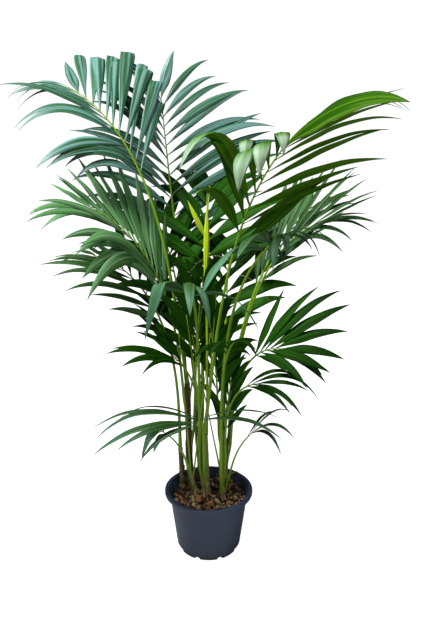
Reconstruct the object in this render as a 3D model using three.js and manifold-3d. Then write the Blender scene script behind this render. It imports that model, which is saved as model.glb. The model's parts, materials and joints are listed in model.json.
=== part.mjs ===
// A kentia palm standing in its nursery pot: seven young stems share the pot, and each
// carries arching, feather-like fronds.
//
// Millimetres and degrees, +Z up, the front towards -Y.  The origin is the centre of the
// pot's flat underside.  Every stem, petiole and frond is a solid of its own, and
// neighbours keep a small gap.

import * as THREE from 'three';
import { mergeVertices } from 'three/addons/utils/BufferGeometryUtils.js';
import Module from 'manifold-3d';

const wasm = await Module();
wasm.setup();

// ---------------------------------------------------------------- driving dimensions

const GAP = 0.3; // air between neighbouring pieces
const WELD = 1e-4; // points of a geometry that are this near are one

const POT = {
  height: 180,
  rimRadius: 120, // outside of the rolled lip
  mouthRadius: 109, // inside of the lip
  lipHeight: 12,
  lipRound: 3,
  neckRadius: 106.5, // outside of the wall just under the lip
  baseRadius: 87, // outside of the wall at its foot
  footRadius: 80, // narrower foot that the pot stands on
  footHeight: 11,
  footSlope: 4, // height of the slope between foot and wall
  wall: 2.5,
  floor: 4,
  sides: 32,
  notches: 8, // drainage notches round the foot
  notchRadius: 6,
  notchReach: 12, // how far a notch runs in from the foot's edge
};

const SOIL_TOP = 158;

// Stems: foot and top are [x, y] at the soil and [x, y, z] at the top of the trunk.
const STEM_SIDES = 8;
const FLARE = { height: 28, extra: 0.3 }; // root flare, as a share of the foot's radius
const STEMS = {
  back_left: { foot: [-52, 64], top: [-58, 62, 470], footRadius: 10, topRadius: 7.5, bark: 'brown' },
  far_left: { foot: [-72, 48], top: [-78, 46, 280], footRadius: 8, topRadius: 6, bark: 'olive' },
  front_left: { foot: [-37, 10], top: [-52, 16, 225], footRadius: 9, topRadius: 6, bark: 'green' },
  back_centre: { foot: [-24, 80], top: [-27, 80, 380], footRadius: 8, topRadius: 6.5, bark: 'brown' },
  centre: { foot: [-7, 12], top: [-11, 18, 340], footRadius: 11, topRadius: 8.5, bark: 'green' },
  front_right: { foot: [38, 2], top: [34, 4, 230], footRadius: 7, topRadius: 5.8, bark: 'green' },
  back_right: { foot: [46, 74], top: [40, 70, 330], footRadius: 10, topRadius: 7.5, bark: 'pink' },
};

// Fronds.  A frond's midrib starts on its stem: on the top of it, or at the height `foot`
// against the side that faces `side`.  It runs towards `heading` (0 is +X, 90 is +Y) for
// `length`, and its slant from the vertical goes from `rise` to `arch` by the power `curl`.
// Its upper side may turn by `roll` on the way.
// The blade starts at the share `blade` of the length, and has `pairs` pairs of leaflets up
// to `leaf` long and `wide` wide, which open from the midrib by `open` at its two ends.
// Each side's leaflets lift out of the blade's plane, droop, and may fold over at `fold` in
// the stretch `folded`.  In the stretch `band` they have another opening, width and length.
// SIDE holds what a side leaves unsaid.
const FRONDS = {
  upper_left: {
    stem: 'back_left', heading: 155, length: 900, rise: 8, arch: 75, curl: 2.9, blade: 0.62,
    pairs: 13, leaf: 280, wide: 28, open: [46, 14], twist: 0.3, seed: 11,
    left: { lift: -6, droop: 1.2, band: [0.12, 0.31], open: 1.5, broad: [1.15, 0.9] },
    right: {
      lift: 26, droop: 0.15, fold: 0.8, folded: [0, 0.8], spread: [0.85, 2.4], size: [1.3, 0.8],
      broad: [1.45, 1.45], gone: [11, 12],
    },
  },
  top: {
    stem: 'back_centre', heading: 110, length: 870, rise: 23, arch: 15, curl: 1.9, blade: 0.52,
    pairs: 15, leaf: 350, wide: 28, open: [58, 20], twist: 0.4, seed: 12,
    left: { lift: 12, droop: 0.8, size: [0.9, 0.85] },
    right: {
      lift: -5, droop: 0.6, band: [0.96, 1], open: 0.5, wide: 1.65, long: 0.8, spread: [1, 1.9],
      size: [1.15, 1.05],
    },
  },
  right_front: {
    stem: 'centre', heading: -45, length: 1100, rise: 8, arch: 71, curl: 2.6, blade: 0.48,
    pairs: 15, leaf: 300, wide: 36, open: [62, 10], twist: 0.3, seed: 13,
    left: {
      lift: -15, droop: 0.8, band: [0, 0.12], open: 0.72, wide: 1.7, spread: [1, 1.4],
      size: [1.2, 1], sag: [0.15, 1.2], broad: [0.85, 0.62], gone: [10, 12],
    },
    right: {
      lift: 36, droop: 0.75, fold: 0.7, folded: [0.3, 0.52], band: [0.55, 0.6], open: 0.5,
      wide: 2.1, spread: [0.54, 0.95], size: [0.5, 4.4], sag: [2.3, 1.4], short: [0.56, 0.21],
      long: 0.63, steep: -64, slack: 0.54, gone: [0, 9, 10, 11, 12, 13, 14],
    },
  },
  left: {
    stem: 'back_left', foot: 380, side: 245, heading: 188, length: 660, rise: 4, arch: 62,
    curl: 2.3, blade: 0.5, pairs: 13, leaf: 360, wide: 36, open: [75, 20], twist: 0.1, seed: 14,
    left: { lift: -10, droop: 0.8, band: [0.3, 0.5], open: 1.5, spread: [0.5, 1], size: [1.4, 1] },
    right: { lift: 28, droop: 0.3, spread: [0.6, 1], size: [0.85, 0.8], broad: [1.2, 1.2] },
  },
  right: {
    stem: 'back_right', heading: 0, length: 680, rise: 10, arch: 76, curl: 3.6, blade: 0.62,
    pairs: 10, leaf: 270, wide: 26, open: [50, 16], twist: 0.5, seed: 15,
    left: { lift: 20, droop: 0.3, spread: [0.55, 1], size: [1, 1.25], broad: [0.7, 0.9] },
    right: { lift: 5, droop: 0.9, gone: [0, 1, 2] },
  },
  right_back: {
    stem: 'back_right', foot: 260, side: 30, heading: 35, length: 740, rise: 2, arch: 62,
    curl: 1.9, blade: 0.62, pairs: 9, leaf: 250, wide: 27, open: [42, 14], twist: 0.5, seed: 21,
    left: { lift: 15, droop: 0.4, spread: [0.6, 1] },
    right: { lift: 5, droop: 0.5 },
  },
  right_near: {
    stem: 'front_right', heading: -42, length: 780, rise: 0, arch: 58, curl: 2.6, blade: 0.86,
    pairs: 4, leaf: 270, wide: 38, open: [75, 30], twist: 0.1, seed: 23,
    left: { lift: 10, droop: 2.6, size: [0.45, 0.85], broad: [0.6, 0.6] },
    right: { lift: 25, droop: 1.2, size: [1.25, 0.5], sag: [1, 2.5], broad: [1.7, 0.7] },
  },
  right_low: {
    stem: 'back_right', foot: 230, side: -25, heading: -25, length: 440, rise: 3, arch: 98,
    curl: 3.4, blade: 0.76, pairs: 6, leaf: 265, wide: 34, open: [43, 8], roll: -50, twist: 0.2,
    seed: 16,
    left: { lift: 10, droop: 0.45, spread: [0.9, 1], size: [0.9, 1.1] },
    right: { lift: 10, droop: 0.7, size: [0.75, 0.9], broad: [0.6, 0.8] },
  },
  low_right: {
    stem: 'front_right', foot: 224, side: 0, heading: -22, length: 330, rise: -2, arch: 84,
    curl: 3.1, blade: 0.84, pairs: 3, leaf: 225, wide: 16, open: [16, 3], roll: -40, twist: 0.3,
    seed: 17,
    left: { lift: 10, droop: 1.5 },
    right: { lift: 5, droop: 1.2, spread: [2.2, 2], size: [0.7, 1] },
  },
  left_back: {
    stem: 'far_left', heading: 150, length: 645, rise: 1, arch: 92, curl: 2.3, blade: 0.56,
    pairs: 9, leaf: 260, wide: 27, open: [58, 20], twist: 0.5, seed: 22,
    left: { lift: 5, droop: 0.7 },
    right: { lift: 15, droop: 0.7 },
  },
  mid_left: {
    stem: 'centre', foot: 255, side: 145, heading: 185, length: 328, rise: 0, arch: 50, curl: 2.9,
    blade: 0.86, pairs: 4, leaf: 260, wide: 25, open: [40, 16], roll: 25, twist: 0.1, seed: 18,
    left: { lift: 20, droop: 1, size: [0.85, 1.25], sag: [1.3, 0.6] },
    right: { lift: 5, droop: 0.7, size: [0.75, 0.9] },
  },
  lowest: {
    stem: 'centre', foot: 215, side: 255, heading: 262, length: 290, rise: 0, arch: 106, curl: 2.5,
    blade: 0.82, pairs: 6, leaf: 300, wide: 24, open: [85, 58], twist: 0, seed: 19,
    left: { lift: 25, droop: 1.5, size: [1, 0.5], broad: [1.4, 0.9], gone: [1, 3, 4, 5] },
    right: { lift: 28, droop: 1.2, size: [0.95, 1.15], broad: [1.35, 1.2] },
  },
  inner_right: {
    stem: 'back_right', foot: 270, side: 215, heading: 235, length: 460, rise: 3, arch: 20,
    curl: 2.2, blade: 0.34, pairs: 9, leaf: 210, wide: 32, open: [32, 12], twist: 0.2, seed: 41,
    left: { lift: 10, droop: 0.7 },
    right: { lift: 10, droop: 0.7 },
  },
  inner_left: {
    stem: 'back_left', foot: 300, side: 335, heading: 300, length: 500, rise: 3, arch: 16,
    curl: 2.6, blade: 0.42, pairs: 8, leaf: 200, wide: 29, open: [36, 16], twist: 0.1, seed: 42,
    left: { lift: 10, droop: 0.6 },
    right: { lift: 10, droop: 0.6 },
  },
  inner_mid: {
    stem: 'front_right', foot: 180, side: 75, heading: 40, length: 350, rise: 2, arch: 12, curl: 2,
    blade: 0.42, pairs: 6, leaf: 160, wide: 26, open: [34, 14], twist: 0.1, seed: 43,
    left: { lift: 10, droop: 0.5 },
    right: { lift: 10, droop: 0.5 },
  },
  front_mid: {
    stem: 'centre', foot: 210, side: 190, heading: 262, length: 655, rise: -1.5, arch: 58,
    curl: 2.8, blade: 0.88, pairs: 3, leaf: 230, wide: 36, open: [72, 30], twist: 0, seed: 20,
    left: {
      lift: 8, droop: 2, spread: [1, 0.7], size: [1.25, 0.8], sag: [0.8, 3], broad: [0.9, 0.6],
      gone: [1],
    },
    right: {
      lift: 0, droop: 0.4, fold: 0.26, folded: [0, 0.3], spread: [0.85, -0.25], size: [1, 1.4],
      sag: [1, 5], broad: [1.7, 1], gone: [1],
    },
  },
  front_low: {
    stem: 'front_right', foot: 180, side: 255, heading: -70, length: 510, rise: -1, arch: 58,
    curl: 3.6, blade: 0.82, pairs: 4, leaf: 190, wide: 32, open: [70, 25], twist: 0, seed: 24,
    left: { lift: 15, droop: 2.2, size: [0.5, 0.6] },
    right: { lift: 25, droop: 1.3, size: [0.65, 0.7] },
  },
  small_left: {
    stem: 'front_left', heading: 180, length: 165, rise: 16, arch: 75, curl: 2, blade: 0.78,
    pairs: 3, leaf: 110, wide: 20, open: [65, 25], twist: 0.3, seed: 25,
    left: { lift: 5, droop: 2.8 },
    right: { lift: 0, droop: 4, size: [0.8, 0.8] },
  },
  small_right: {
    stem: 'front_right', foot: 170, side: 22, heading: -12, length: 200, rise: 8, arch: 45,
    curl: 2, blade: 0.88, pairs: 2, leaf: 215, wide: 16, open: [34, 24], twist: 0.3, seed: 26,
    left: { lift: 20, droop: 1.3, size: [0.7, 1.25] },
    right: { lift: 10, droop: 1.8 },
  },
  back_high: {
    stem: 'back_centre', foot: 320, side: 50, heading: 85, length: 740, rise: 3, arch: 72,
    curl: 2.3, blade: 0.54, pairs: 8, leaf: 250, wide: 38, open: [58, 18], twist: 0.5, seed: 31,
    left: { lift: 10, droop: 0.7 },
    right: { lift: 10, droop: 0.7 },
  },
  back_left_mid: {
    stem: 'back_left', foot: 330, side: 100, heading: 115, length: 640, rise: 3, arch: 75,
    curl: 2.5, blade: 0.54, pairs: 8, leaf: 280, wide: 40, open: [58, 18], twist: 0.5, seed: 32,
    left: { lift: 10, droop: 0.7 },
    right: { lift: 10, droop: 0.7 },
  },
  back_right_mid: {
    stem: 'back_right', foot: 250, side: 95, heading: 85, length: 620, rise: 3, arch: 75,
    curl: 2.5, blade: 0.55, pairs: 7, leaf: 220, wide: 38, open: [58, 18], twist: 0.5, seed: 33,
    left: { lift: 10, droop: 0.7 },
    right: { lift: 10, droop: 0.7 },
  },
  back_low: {
    stem: 'back_centre', foot: 240, side: 130, heading: 95, length: 430, rise: 5, arch: 85,
    curl: 2.5, blade: 0.6, pairs: 7, leaf: 240, wide: 30, open: [60, 18], twist: 0.5, seed: 34,
    left: { lift: 10, droop: 0.7 },
    right: { lift: 10, droop: 0.7 },
  },
};

const SIDE = {
  fold: 0, // 0 for leaflets that don't fold
  folded: [0, 1],
  band: [2, 2], // beyond the blade's end, so none
  open: 1, // shares inside the band
  wide: 1,
  long: 1,
  steep: 0, // degrees added to the lift inside the band
  slack: 1, // share of the droop there
  spread: [1, 1], // shares of the opening at the blade's two ends
  size: [1, 1], // of the length
  broad: [1, 1], // of the width
  sag: [1, 1], // of the droop
  short: [1, 1], // of the length of those that fold, at the two ends of that stretch
  gone: [], // pairs that have lost their leaflet on this side
};

const PETIOLE = {
  foot: 6, // radii at its corners
  blade: 4.2,
  tip: 2,
  sides: 4,
  step: 45, // length of a straight stretch
  room: 0.5, // between its foot and the stem
};
// The newest leaf, still closed: a slim rod that swells to a pointed spear, with one side
// leaflet that has begun to part from it.  The swelling is given by height and radius, as
// shares.
const SPEAR = {
  stem: 'centre',
  foot: 330,
  side: 57,
  top: 1000,
  radius: 3.2,
  sides: 5,
  heights: [0, 0.55, 0.7, 0.85, 0.95, 1],
  radii: [1, 1, 1.6, 2, 1.2, 0.15],
};
const SPEAR_LEAF = { from: 880, tip: [-52, 26, 985], width: 13, rootWidth: 0.6, ridge: 1.6 };

const RIB_STEPS = 40; // steps in which a midrib's curve is worked out
const BLADE = { end: 0.995, crowding: 0.92 }; // where the last pair can sit, how pairs crowd

// Leaflets.  The variations are the greatest, to either side.
const LEAF = {
  steps: 12, // steps in which its curve is worked out
  stations: [0, 5, 9, 12], // the steps that its solid shows
  sink: 0.6, // how far from the midrib's centre its root lies, inside it
  ridge: 0.0105, // its thickness as a share of its length, and the least thickness
  leastRidge: 1.6,
  root: 0.14, // width at its root, as a share of the greatest
  peak: 0.42, // where it starts to narrow, and how slowly
  taper: 1.9,
  foldPeak: 0.04, // the same for one that folds: beyond the fold
  foldTaper: 1.2,
  foldPull: 3, // how hard the fold turns it down, and over which share of its length
  foldSpan: 0.25,
  bend: 1.6, // power by which the droop grows along it
  flatter: 0.75, // share of the lift that is gone at the blade's tip
  turns: 5, // variation of its opening and lift, in degrees
  lengths: 0.08,
  widths: 0.12,
  droops: 0.45,
  folds: 0.06,
};

// Length and width along the blade: their share at its start, where they are greatest, and how
// much they lose beyond, over which share of the blade.
const LENGTHS = { first: 0.78, top: 0.35, loss: 0.56, span: 0.75 };
const WIDTHS = { first: 0.75, top: 0.3, loss: 0.38, span: 0.8 };

// The corners of a leaflet's section, as shares of its half width and of its height.
const BLADE_CORNERS = [[-1, -1 / 3], [1, -1 / 3], [0, 2 / 3]];

// Where a leaflet would touch something, it swings by these angles, then shortens, or is left out.
const TRIES = [[0, 1], [6, 1], [-6, 1], [12, 1], [-12, 1], [0, 0.7], [8, 0.6], [-8, 0.6], [0, 0.45]];

const COLOURS = {
  pot: 0x3a4252,
  soil: 0x4a2e1c,
  brown: 0x6b5238,
  olive: 0x5d6a2e,
  green: 0x5f8a2a,
  pink: 0x9a6a55,
  petiole: 0x6f9a2e,
  frond: 0x2f6a33,
  spear: 0xa8d020,
};

// ---------------------------------------------------------------- solids and sections

function toSolid(geometry) {
  const bare = geometry.clone();
  bare.deleteAttribute('normal');
  bare.deleteAttribute('uv');
  const merged = mergeVertices(bare, WELD);
  const mesh = new wasm.Mesh({
    numProp: 3,
    vertProperties: Float32Array.from(merged.attributes.position.array),
    triVerts: Uint32Array.from(merged.index.array),
  });
  return new wasm.Manifold(mesh);
}

function toGeometry(solid) {
  const { vertProperties, triVerts } = solid.getMesh();
  const geometry = new THREE.BufferGeometry();
  geometry.setAttribute('position', new THREE.BufferAttribute(vertProperties, 3));
  geometry.setIndex(new THREE.BufferAttribute(triVerts, 1));
  geometry.computeVertexNormals();
  return geometry;
}

// Bends a unit cylinder or cone, whose axis is Y, along the sections that sectionAt gives:
// each has a point and two vectors, across and up, that hold the half sizes.
function bend(geometry, sectionAt, isCone = false) {
  const position = geometry.attributes.position;
  const vertex = new THREE.Vector3();
  for (let i = 0; i < position.count; i++) {
    vertex.fromBufferAttribute(position, i);
    const share = vertex.y + 0.5;
    const ring = isCone ? Math.max(1 - share, Number.EPSILON) : 1;
    const across = share === 1 && isCone ? 0 : vertex.x / ring;
    const up = share === 1 && isCone ? 0 : vertex.z / ring;
    const section = sectionAt(share);
    vertex.copy(section.point).addScaledVector(section.across, across).addScaledVector(section.up, up);
    position.setXYZ(i, vertex.x, vertex.y, vertex.z);
  }
  return geometry;
}

const smooth = (x) => THREE.MathUtils.smoothstep(x, 0, 1);
const radians = THREE.MathUtils.degToRad;
const mix = THREE.MathUtils.lerp;
const DOWN = new THREE.Vector3(0, 0, -1);

// A seeded series of numbers between -1 and 1.
function chances(seed) {
  let state = seed;
  return () => {
    state = (state * 1664525 + 1013904223) % 4294967296;
    return (state / 4294967296) * 2 - 1;
  };
}

// ---------------------------------------------------------------- pot and soil

function makePot() {
  const lipFoot = POT.height - POT.lipHeight;
  const slopeTop = POT.footHeight + POT.footSlope;
  const profile = [
    [0, 0],
    [POT.footRadius, 0],
    [POT.footRadius, POT.footHeight],
    [POT.baseRadius, slopeTop],
    [POT.neckRadius, lipFoot],
    [POT.rimRadius - POT.lipRound, lipFoot],
    [POT.rimRadius, lipFoot + POT.lipRound],
    [POT.rimRadius, POT.height - POT.lipRound],
    [POT.rimRadius - POT.lipRound, POT.height],
    [POT.mouthRadius, POT.height],
    [POT.neckRadius - POT.wall, lipFoot - POT.lipRound],
    [POT.baseRadius - POT.wall, slopeTop],
    [POT.footRadius - POT.wall, POT.footHeight],
    [POT.footRadius - POT.wall, POT.floor],
    [0, POT.floor],
  ].map(([radius, z]) => new THREE.Vector2(radius, z));
  const lathe = new THREE.LatheGeometry(profile, POT.sides);
  lathe.rotateX(Math.PI / 2);
  let solid = toSolid(lathe);
  for (let i = 0; i < POT.notches; i++) {
    const notch = new THREE.CylinderGeometry(POT.notchRadius, POT.notchRadius, 2 * POT.notchReach, 12);
    notch.translate(0, POT.footRadius, 0);
    notch.rotateZ((2 * Math.PI * (i + 0.5)) / POT.notches);
    solid = solid.subtract(toSolid(notch));
  }
  return solid;
}

// Inside radius of the pot's wall at a height above the foot's slope.
function wallInside(z) {
  const foot = POT.footHeight + POT.footSlope;
  const share = (z - foot) / (POT.height - POT.lipHeight - POT.lipRound - foot);
  return mix(POT.baseRadius, POT.neckRadius, share) - POT.wall;
}

function makeSoil() {
  const slopeTop = POT.footHeight + POT.footSlope;
  const side = 2 * GAP; // the faceted wall lies a little nearer than its corners
  const profile = [
    [0, POT.floor + GAP],
    [POT.footRadius - POT.wall - side, POT.floor + GAP],
    [POT.footRadius - POT.wall - side, POT.footHeight],
    [wallInside(slopeTop) - side, slopeTop],
    [wallInside(SOIL_TOP) - side, SOIL_TOP],
    [0, SOIL_TOP],
  ].map(([radius, z]) => new THREE.Vector2(radius, z));
  const lathe = new THREE.LatheGeometry(profile, POT.sides);
  lathe.rotateX(Math.PI / 2);
  return toSolid(lathe);
}

// ---------------------------------------------------------------- stems

function stemAt(stem, z) {
  const [x0, y0] = stem.foot;
  const [x1, y1, z1] = stem.top;
  const share = (z - SOIL_TOP) / (z1 - SOIL_TOP);
  return {
    point: new THREE.Vector3(mix(x0, x1, share), mix(y0, y1, share), z),
    radius: mix(stem.footRadius, stem.topRadius, share),
  };
}

function makeStem(stem) {
  const foot = SOIL_TOP + GAP;
  const heights = [foot, foot + FLARE.height / 3, foot + FLARE.height, stem.top[2]];
  const rings = heights.length - 1;
  const tube = new THREE.CylinderGeometry(1, 1, 1, STEM_SIDES, rings);
  const sectionAt = (share) => {
    const z = heights[Math.round(share * rings)];
    const { point, radius } = stemAt(stem, z);
    const flare = 1 + FLARE.extra * (1 - smooth((z - foot) / FLARE.height));
    return {
      point,
      across: new THREE.Vector3(radius * flare, 0, 0),
      up: new THREE.Vector3(0, -radius * flare, 0),
    };
  };
  return toSolid(bend(tube, sectionAt));
}

// ---------------------------------------------------------------- fronds

function startOf(frond) {
  const stem = STEMS[frond.stem];
  if (frond.foot === undefined) {
    return new THREE.Vector3(stem.top[0], stem.top[1], stem.top[2] + GAP);
  }
  const { point, radius } = stemAt(stem, frond.foot);
  const reach = radius + PETIOLE.foot + PETIOLE.room + GAP;
  const angle = radians(frond.side);
  return point.add(new THREE.Vector3(reach * Math.cos(angle), reach * Math.sin(angle), 0));
}

// The midrib's direction, its left-hand side and its upper side, at the share s of its length.
function ribFrame(frond, s) {
  const slant = radians(frond.rise + (frond.arch - frond.rise) * s ** frond.curl);
  const heading = radians(frond.heading);
  const along = new THREE.Vector3(
    Math.cos(heading) * Math.sin(slant),
    Math.sin(heading) * Math.sin(slant),
    Math.cos(slant),
  );
  const left = new THREE.Vector3(-Math.sin(heading), Math.cos(heading), 0);
  const roll = radians(frond.roll ?? 0) * smooth(s);
  left.applyAxisAngle(along, -roll);
  const up = new THREE.Vector3().crossVectors(along, left);
  return { along, left, up };
}

function midrib(frond) {
  const points = [startOf(frond)];
  const step = frond.length / RIB_STEPS;
  for (let i = 0; i < RIB_STEPS; i++) {
    const { along } = ribFrame(frond, (i + 0.5) / RIB_STEPS);
    points.push(points[i].clone().addScaledVector(along, step));
  }
  return (s) => {
    const place = s * RIB_STEPS;
    const i = Math.min(Math.floor(place), RIB_STEPS - 1);
    const point = points[i].clone().lerp(points[i + 1], place - i);
    return { point, ...ribFrame(frond, s) };
  };
}

function ribRadius(frond, s) {
  if (s < frond.blade) return mix(PETIOLE.foot, PETIOLE.blade, s / frond.blade);
  return mix(PETIOLE.blade, PETIOLE.tip, (s - frond.blade) / (1 - frond.blade));
}

// A stretch of midrib with flat sides.  On top of a stem its first face lies level.
function ribTube(frond, rib, from, to) {
  const rings = Math.max(3, Math.round(((to - from) * frond.length) / PETIOLE.step));
  const { sides } = PETIOLE;
  const tube = new THREE.CylinderGeometry(1, 1, 1, sides, rings, false, Math.PI / sides);
  const sectionAt = (share) => {
    const s = mix(from, to, share);
    const { point, left, up } = rib(s);
    if (s === 0 && frond.foot === undefined) up.setZ(0).normalize();
    const radius = ribRadius(frond, s);
    return { point, across: left.multiplyScalar(-radius), up: up.multiplyScalar(radius) };
  };
  return toSolid(bend(tube, sectionAt));
}

// How long or wide the leaflets are at t along the blade, as a share of the longest or widest.
function shareAt({ first, top, loss, span }, t) {
  return t < top ? first + (1 - first) * smooth(t / top) : 1 - loss * smooth((t - top) / span);
}

// A leaflet's own outline: narrow at its root, with long sides and a long fine tip.
function outline(v, peak, taper) {
  const grow = LEAF.root + (1 - LEAF.root) * smooth(v / (0.9 * peak));
  const fade = 1 - (Math.max(v - peak, 0) / (1 - peak)) ** taper;
  return grow * fade;
}

// Everything that shapes the leaflet at t along the blade, on the side +1 (left) or -1.
function leafletPlan(frond, rib, side, t, chance) {
  const [turn, stretch, broaden, raise, limp] = Array.from({ length: 5 }, chance);
  const habit = { ...SIDE, ...(side > 0 ? frond.left : frond.right) };
  const banded = t >= habit.band[0] && t <= habit.band[1];
  const [first, last] = habit.folded;
  const folds = habit.fold > 0 && t >= first && t <= last;
  let open = mix(...frond.open, t) * mix(...habit.spread, t);
  let length = frond.leaf * shareAt(LENGTHS, t) * mix(...habit.size, t) * (1 + LEAF.lengths * stretch);
  let width = frond.wide * shareAt(WIDTHS, t) * mix(...habit.broad, t) * (1 + LEAF.widths * broaden);
  let lift = habit.lift * (1 - LEAF.flatter * t);
  let droop = habit.droop * mix(...habit.sag, t) * (1 + LEAF.droops * limp);
  if (folds) length *= mix(...habit.short, (t - first) / (last - first));
  if (banded) {
    open *= habit.open;
    length *= habit.long;
    width *= habit.wide;
    lift += habit.steep;
    droop *= habit.slack;
  }
  return {
    ...rib(frond.blade + (BLADE.end - frond.blade) * t ** BLADE.crowding),
    side,
    open: open + LEAF.turns * turn,
    length,
    width,
    lift: lift + LEAF.turns * raise,
    droop,
    fold: folds ? habit.fold + LEAF.folds * stretch : 0,
    peak: folds ? habit.fold + LEAF.foldPeak : LEAF.peak,
    taper: folds ? LEAF.foldTaper : LEAF.taper,
    twist: frond.twist,
  };
}

// The steps that a leaflet's solid shows: a fold has one at each end.
function stationsOf(plan) {
  if (plan.fold === 0) return LEAF.stations;
  const fold = Math.round(plan.fold * LEAF.steps);
  return [0, fold, Math.min(fold + 2, LEAF.steps - 1), LEAF.steps];
}

// A leaflet's sections: it sets out from the midrib, sags by its own weight and may fold.
function leafletSections(plan, swing, share) {
  const open = radians(plan.open + swing);
  const lift = radians(plan.lift);
  const out = plan.left.clone().multiplyScalar(plan.side * Math.cos(lift));
  out.addScaledVector(plan.up, Math.sin(lift));
  const first = plan.along.clone().multiplyScalar(Math.cos(open));
  first.addScaledVector(out, Math.sin(open)).normalize();
  const flat = plan.along.clone().addScaledVector(first, -plan.along.dot(first)).normalize();
  const length = plan.length * share;
  const aim = (v) => {
    const folded = plan.fold > 0 ? LEAF.foldPull * smooth((v - plan.fold) / LEAF.foldSpan) : 0;
    return first.clone().addScaledVector(DOWN, plan.droop * v ** LEAF.bend + folded).normalize();
  };
  const sections = [];
  const point = plan.point.clone().addScaledVector(first, LEAF.sink);
  let facing = plan.up;
  for (let k = 0; k <= LEAF.steps; k++) {
    const v = k / LEAF.steps;
    const along = aim(v);
    const across = flat.clone().addScaledVector(along, -flat.dot(along)).normalize();
    const level = new THREE.Vector3().crossVectors(along, DOWN);
    if (level.lengthSq() > 1e-4) {
      level.normalize();
      if (level.dot(across) < 0) level.negate();
      across.multiplyScalar(1 - plan.twist * v).addScaledVector(level, plan.twist * v);
      across.addScaledVector(along, -across.dot(along)).normalize();
    }
    const up = new THREE.Vector3().crossVectors(across, along);
    if (up.dot(facing) < 0) {
      up.negate();
      across.negate();
    }
    facing = up;
    const width = plan.width * outline(v, plan.peak, plan.taper);
    sections.push({ point: point.clone(), across, up, width });
    point.addScaledVector(aim((k + 0.5) / LEAF.steps), length / LEAF.steps);
  }
  const ridge = Math.max(plan.length * LEAF.ridge, LEAF.leastRidge);
  return { sections: stationsOf(plan).map((k) => sections[k]), ridge };
}

// A three-sided blade: two thin edges, a ridge on top and a point at its end.  Where it twists,
// its faces are split so that the underside stays under the ridge.  `spare` makes it fatter.
function leafletSolid({ sections, ridge }, spare = 0) {
  const height = ridge + 2 * spare;
  const tip = sections.length - 1;
  const rows = sections.slice(0, tip).map(({ point, across, up, width }) =>
    BLADE_CORNERS.map(([x, z]) =>
      point
        .clone()
        .addScaledVector(across, x * (width / 2 + spare))
        .addScaledVector(up, z * height),
    ),
  );
  const faces = [[0, 1, 2]];
  for (const [corner, next] of [[0, 1], [1, 2], [2, 0]]) {
    for (let k = 0; k < tip - 1; k++) {
      const [p0, q0, p1, q1] = [3 * k + corner, 3 * k + next, 3 * k + 3 + corner, 3 * k + 3 + next];
      const up = sections[k].up.clone().add(sections[k + 1].up);
      const [left, right] = rows[k];
      const [leftNext, rightNext] = rows[k + 1];
      const fromLeft = left.clone().add(rightNext).dot(up) < right.clone().add(leftNext).dot(up);
      const isUnderside = corner === 0;
      if (fromLeft === isUnderside) faces.push([p0, p1, q1], [p0, q1, q0]);
      else faces.push([p0, p1, q0], [p1, q1, q0]);
    }
    faces.push([3 * tip - 3 + corner, 3 * tip, 3 * tip - 3 + next]);
  }
  const points = [...rows.flat(), sections[tip].point];
  const mesh = new wasm.Mesh({
    numProp: 3,
    vertProperties: Float32Array.from(points.flatMap((point) => point.toArray())),
    triVerts: Uint32Array.from(faces.flat()),
  });
  return new wasm.Manifold(mesh);
}

// ---------------------------------------------------------------- the clear space of the crown

const placed = []; // every solid so far, with its box

function place(solid) {
  placed.push({ solid, box: solid.boundingBox() });
  return solid;
}

function isApart(a, b) {
  return [0, 1, 2].some((i) => a.min[i] > b.max[i] || a.max[i] < b.min[i]);
}

function touches(solid, others) {
  const box = solid.boundingBox();
  for (const other of others) {
    if (isApart(box, other.box)) continue;
    const shared = solid.intersect(other.solid);
    const hit = !shared.isEmpty();
    shared.delete();
    if (hit) return true;
  }
  return false;
}

// The blade of a frond: its share of the midrib, with the leaflets that find room fused to it.
function makeFrond(frond, midribSolid) {
  const rib = midrib(frond);
  const chance = chances(frond.seed);
  const others = placed.filter((other) => other.solid !== midribSolid);
  const parts = [midribSolid];
  for (let pair = 0; pair < frond.pairs; pair++) {
    for (const side of [1, -1]) {
      const t = (pair + (side > 0 ? 0.25 : 0.6)) / frond.pairs;
      const plan = leafletPlan(frond, rib, side, t, chance);
      if ((side > 0 ? frond.left : frond.right).gone?.includes(pair)) continue;
      for (const [swing, share] of TRIES) {
        const sections = leafletSections(plan, swing, share);
        const fat = leafletSolid(sections, GAP);
        const blocked = touches(fat, others);
        fat.delete();
        if (!blocked) {
          parts.push(leafletSolid(sections));
          break;
        }
      }
    }
  }
  parts.slice(1).forEach(place);
  return wasm.Manifold.union(parts);
}

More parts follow.
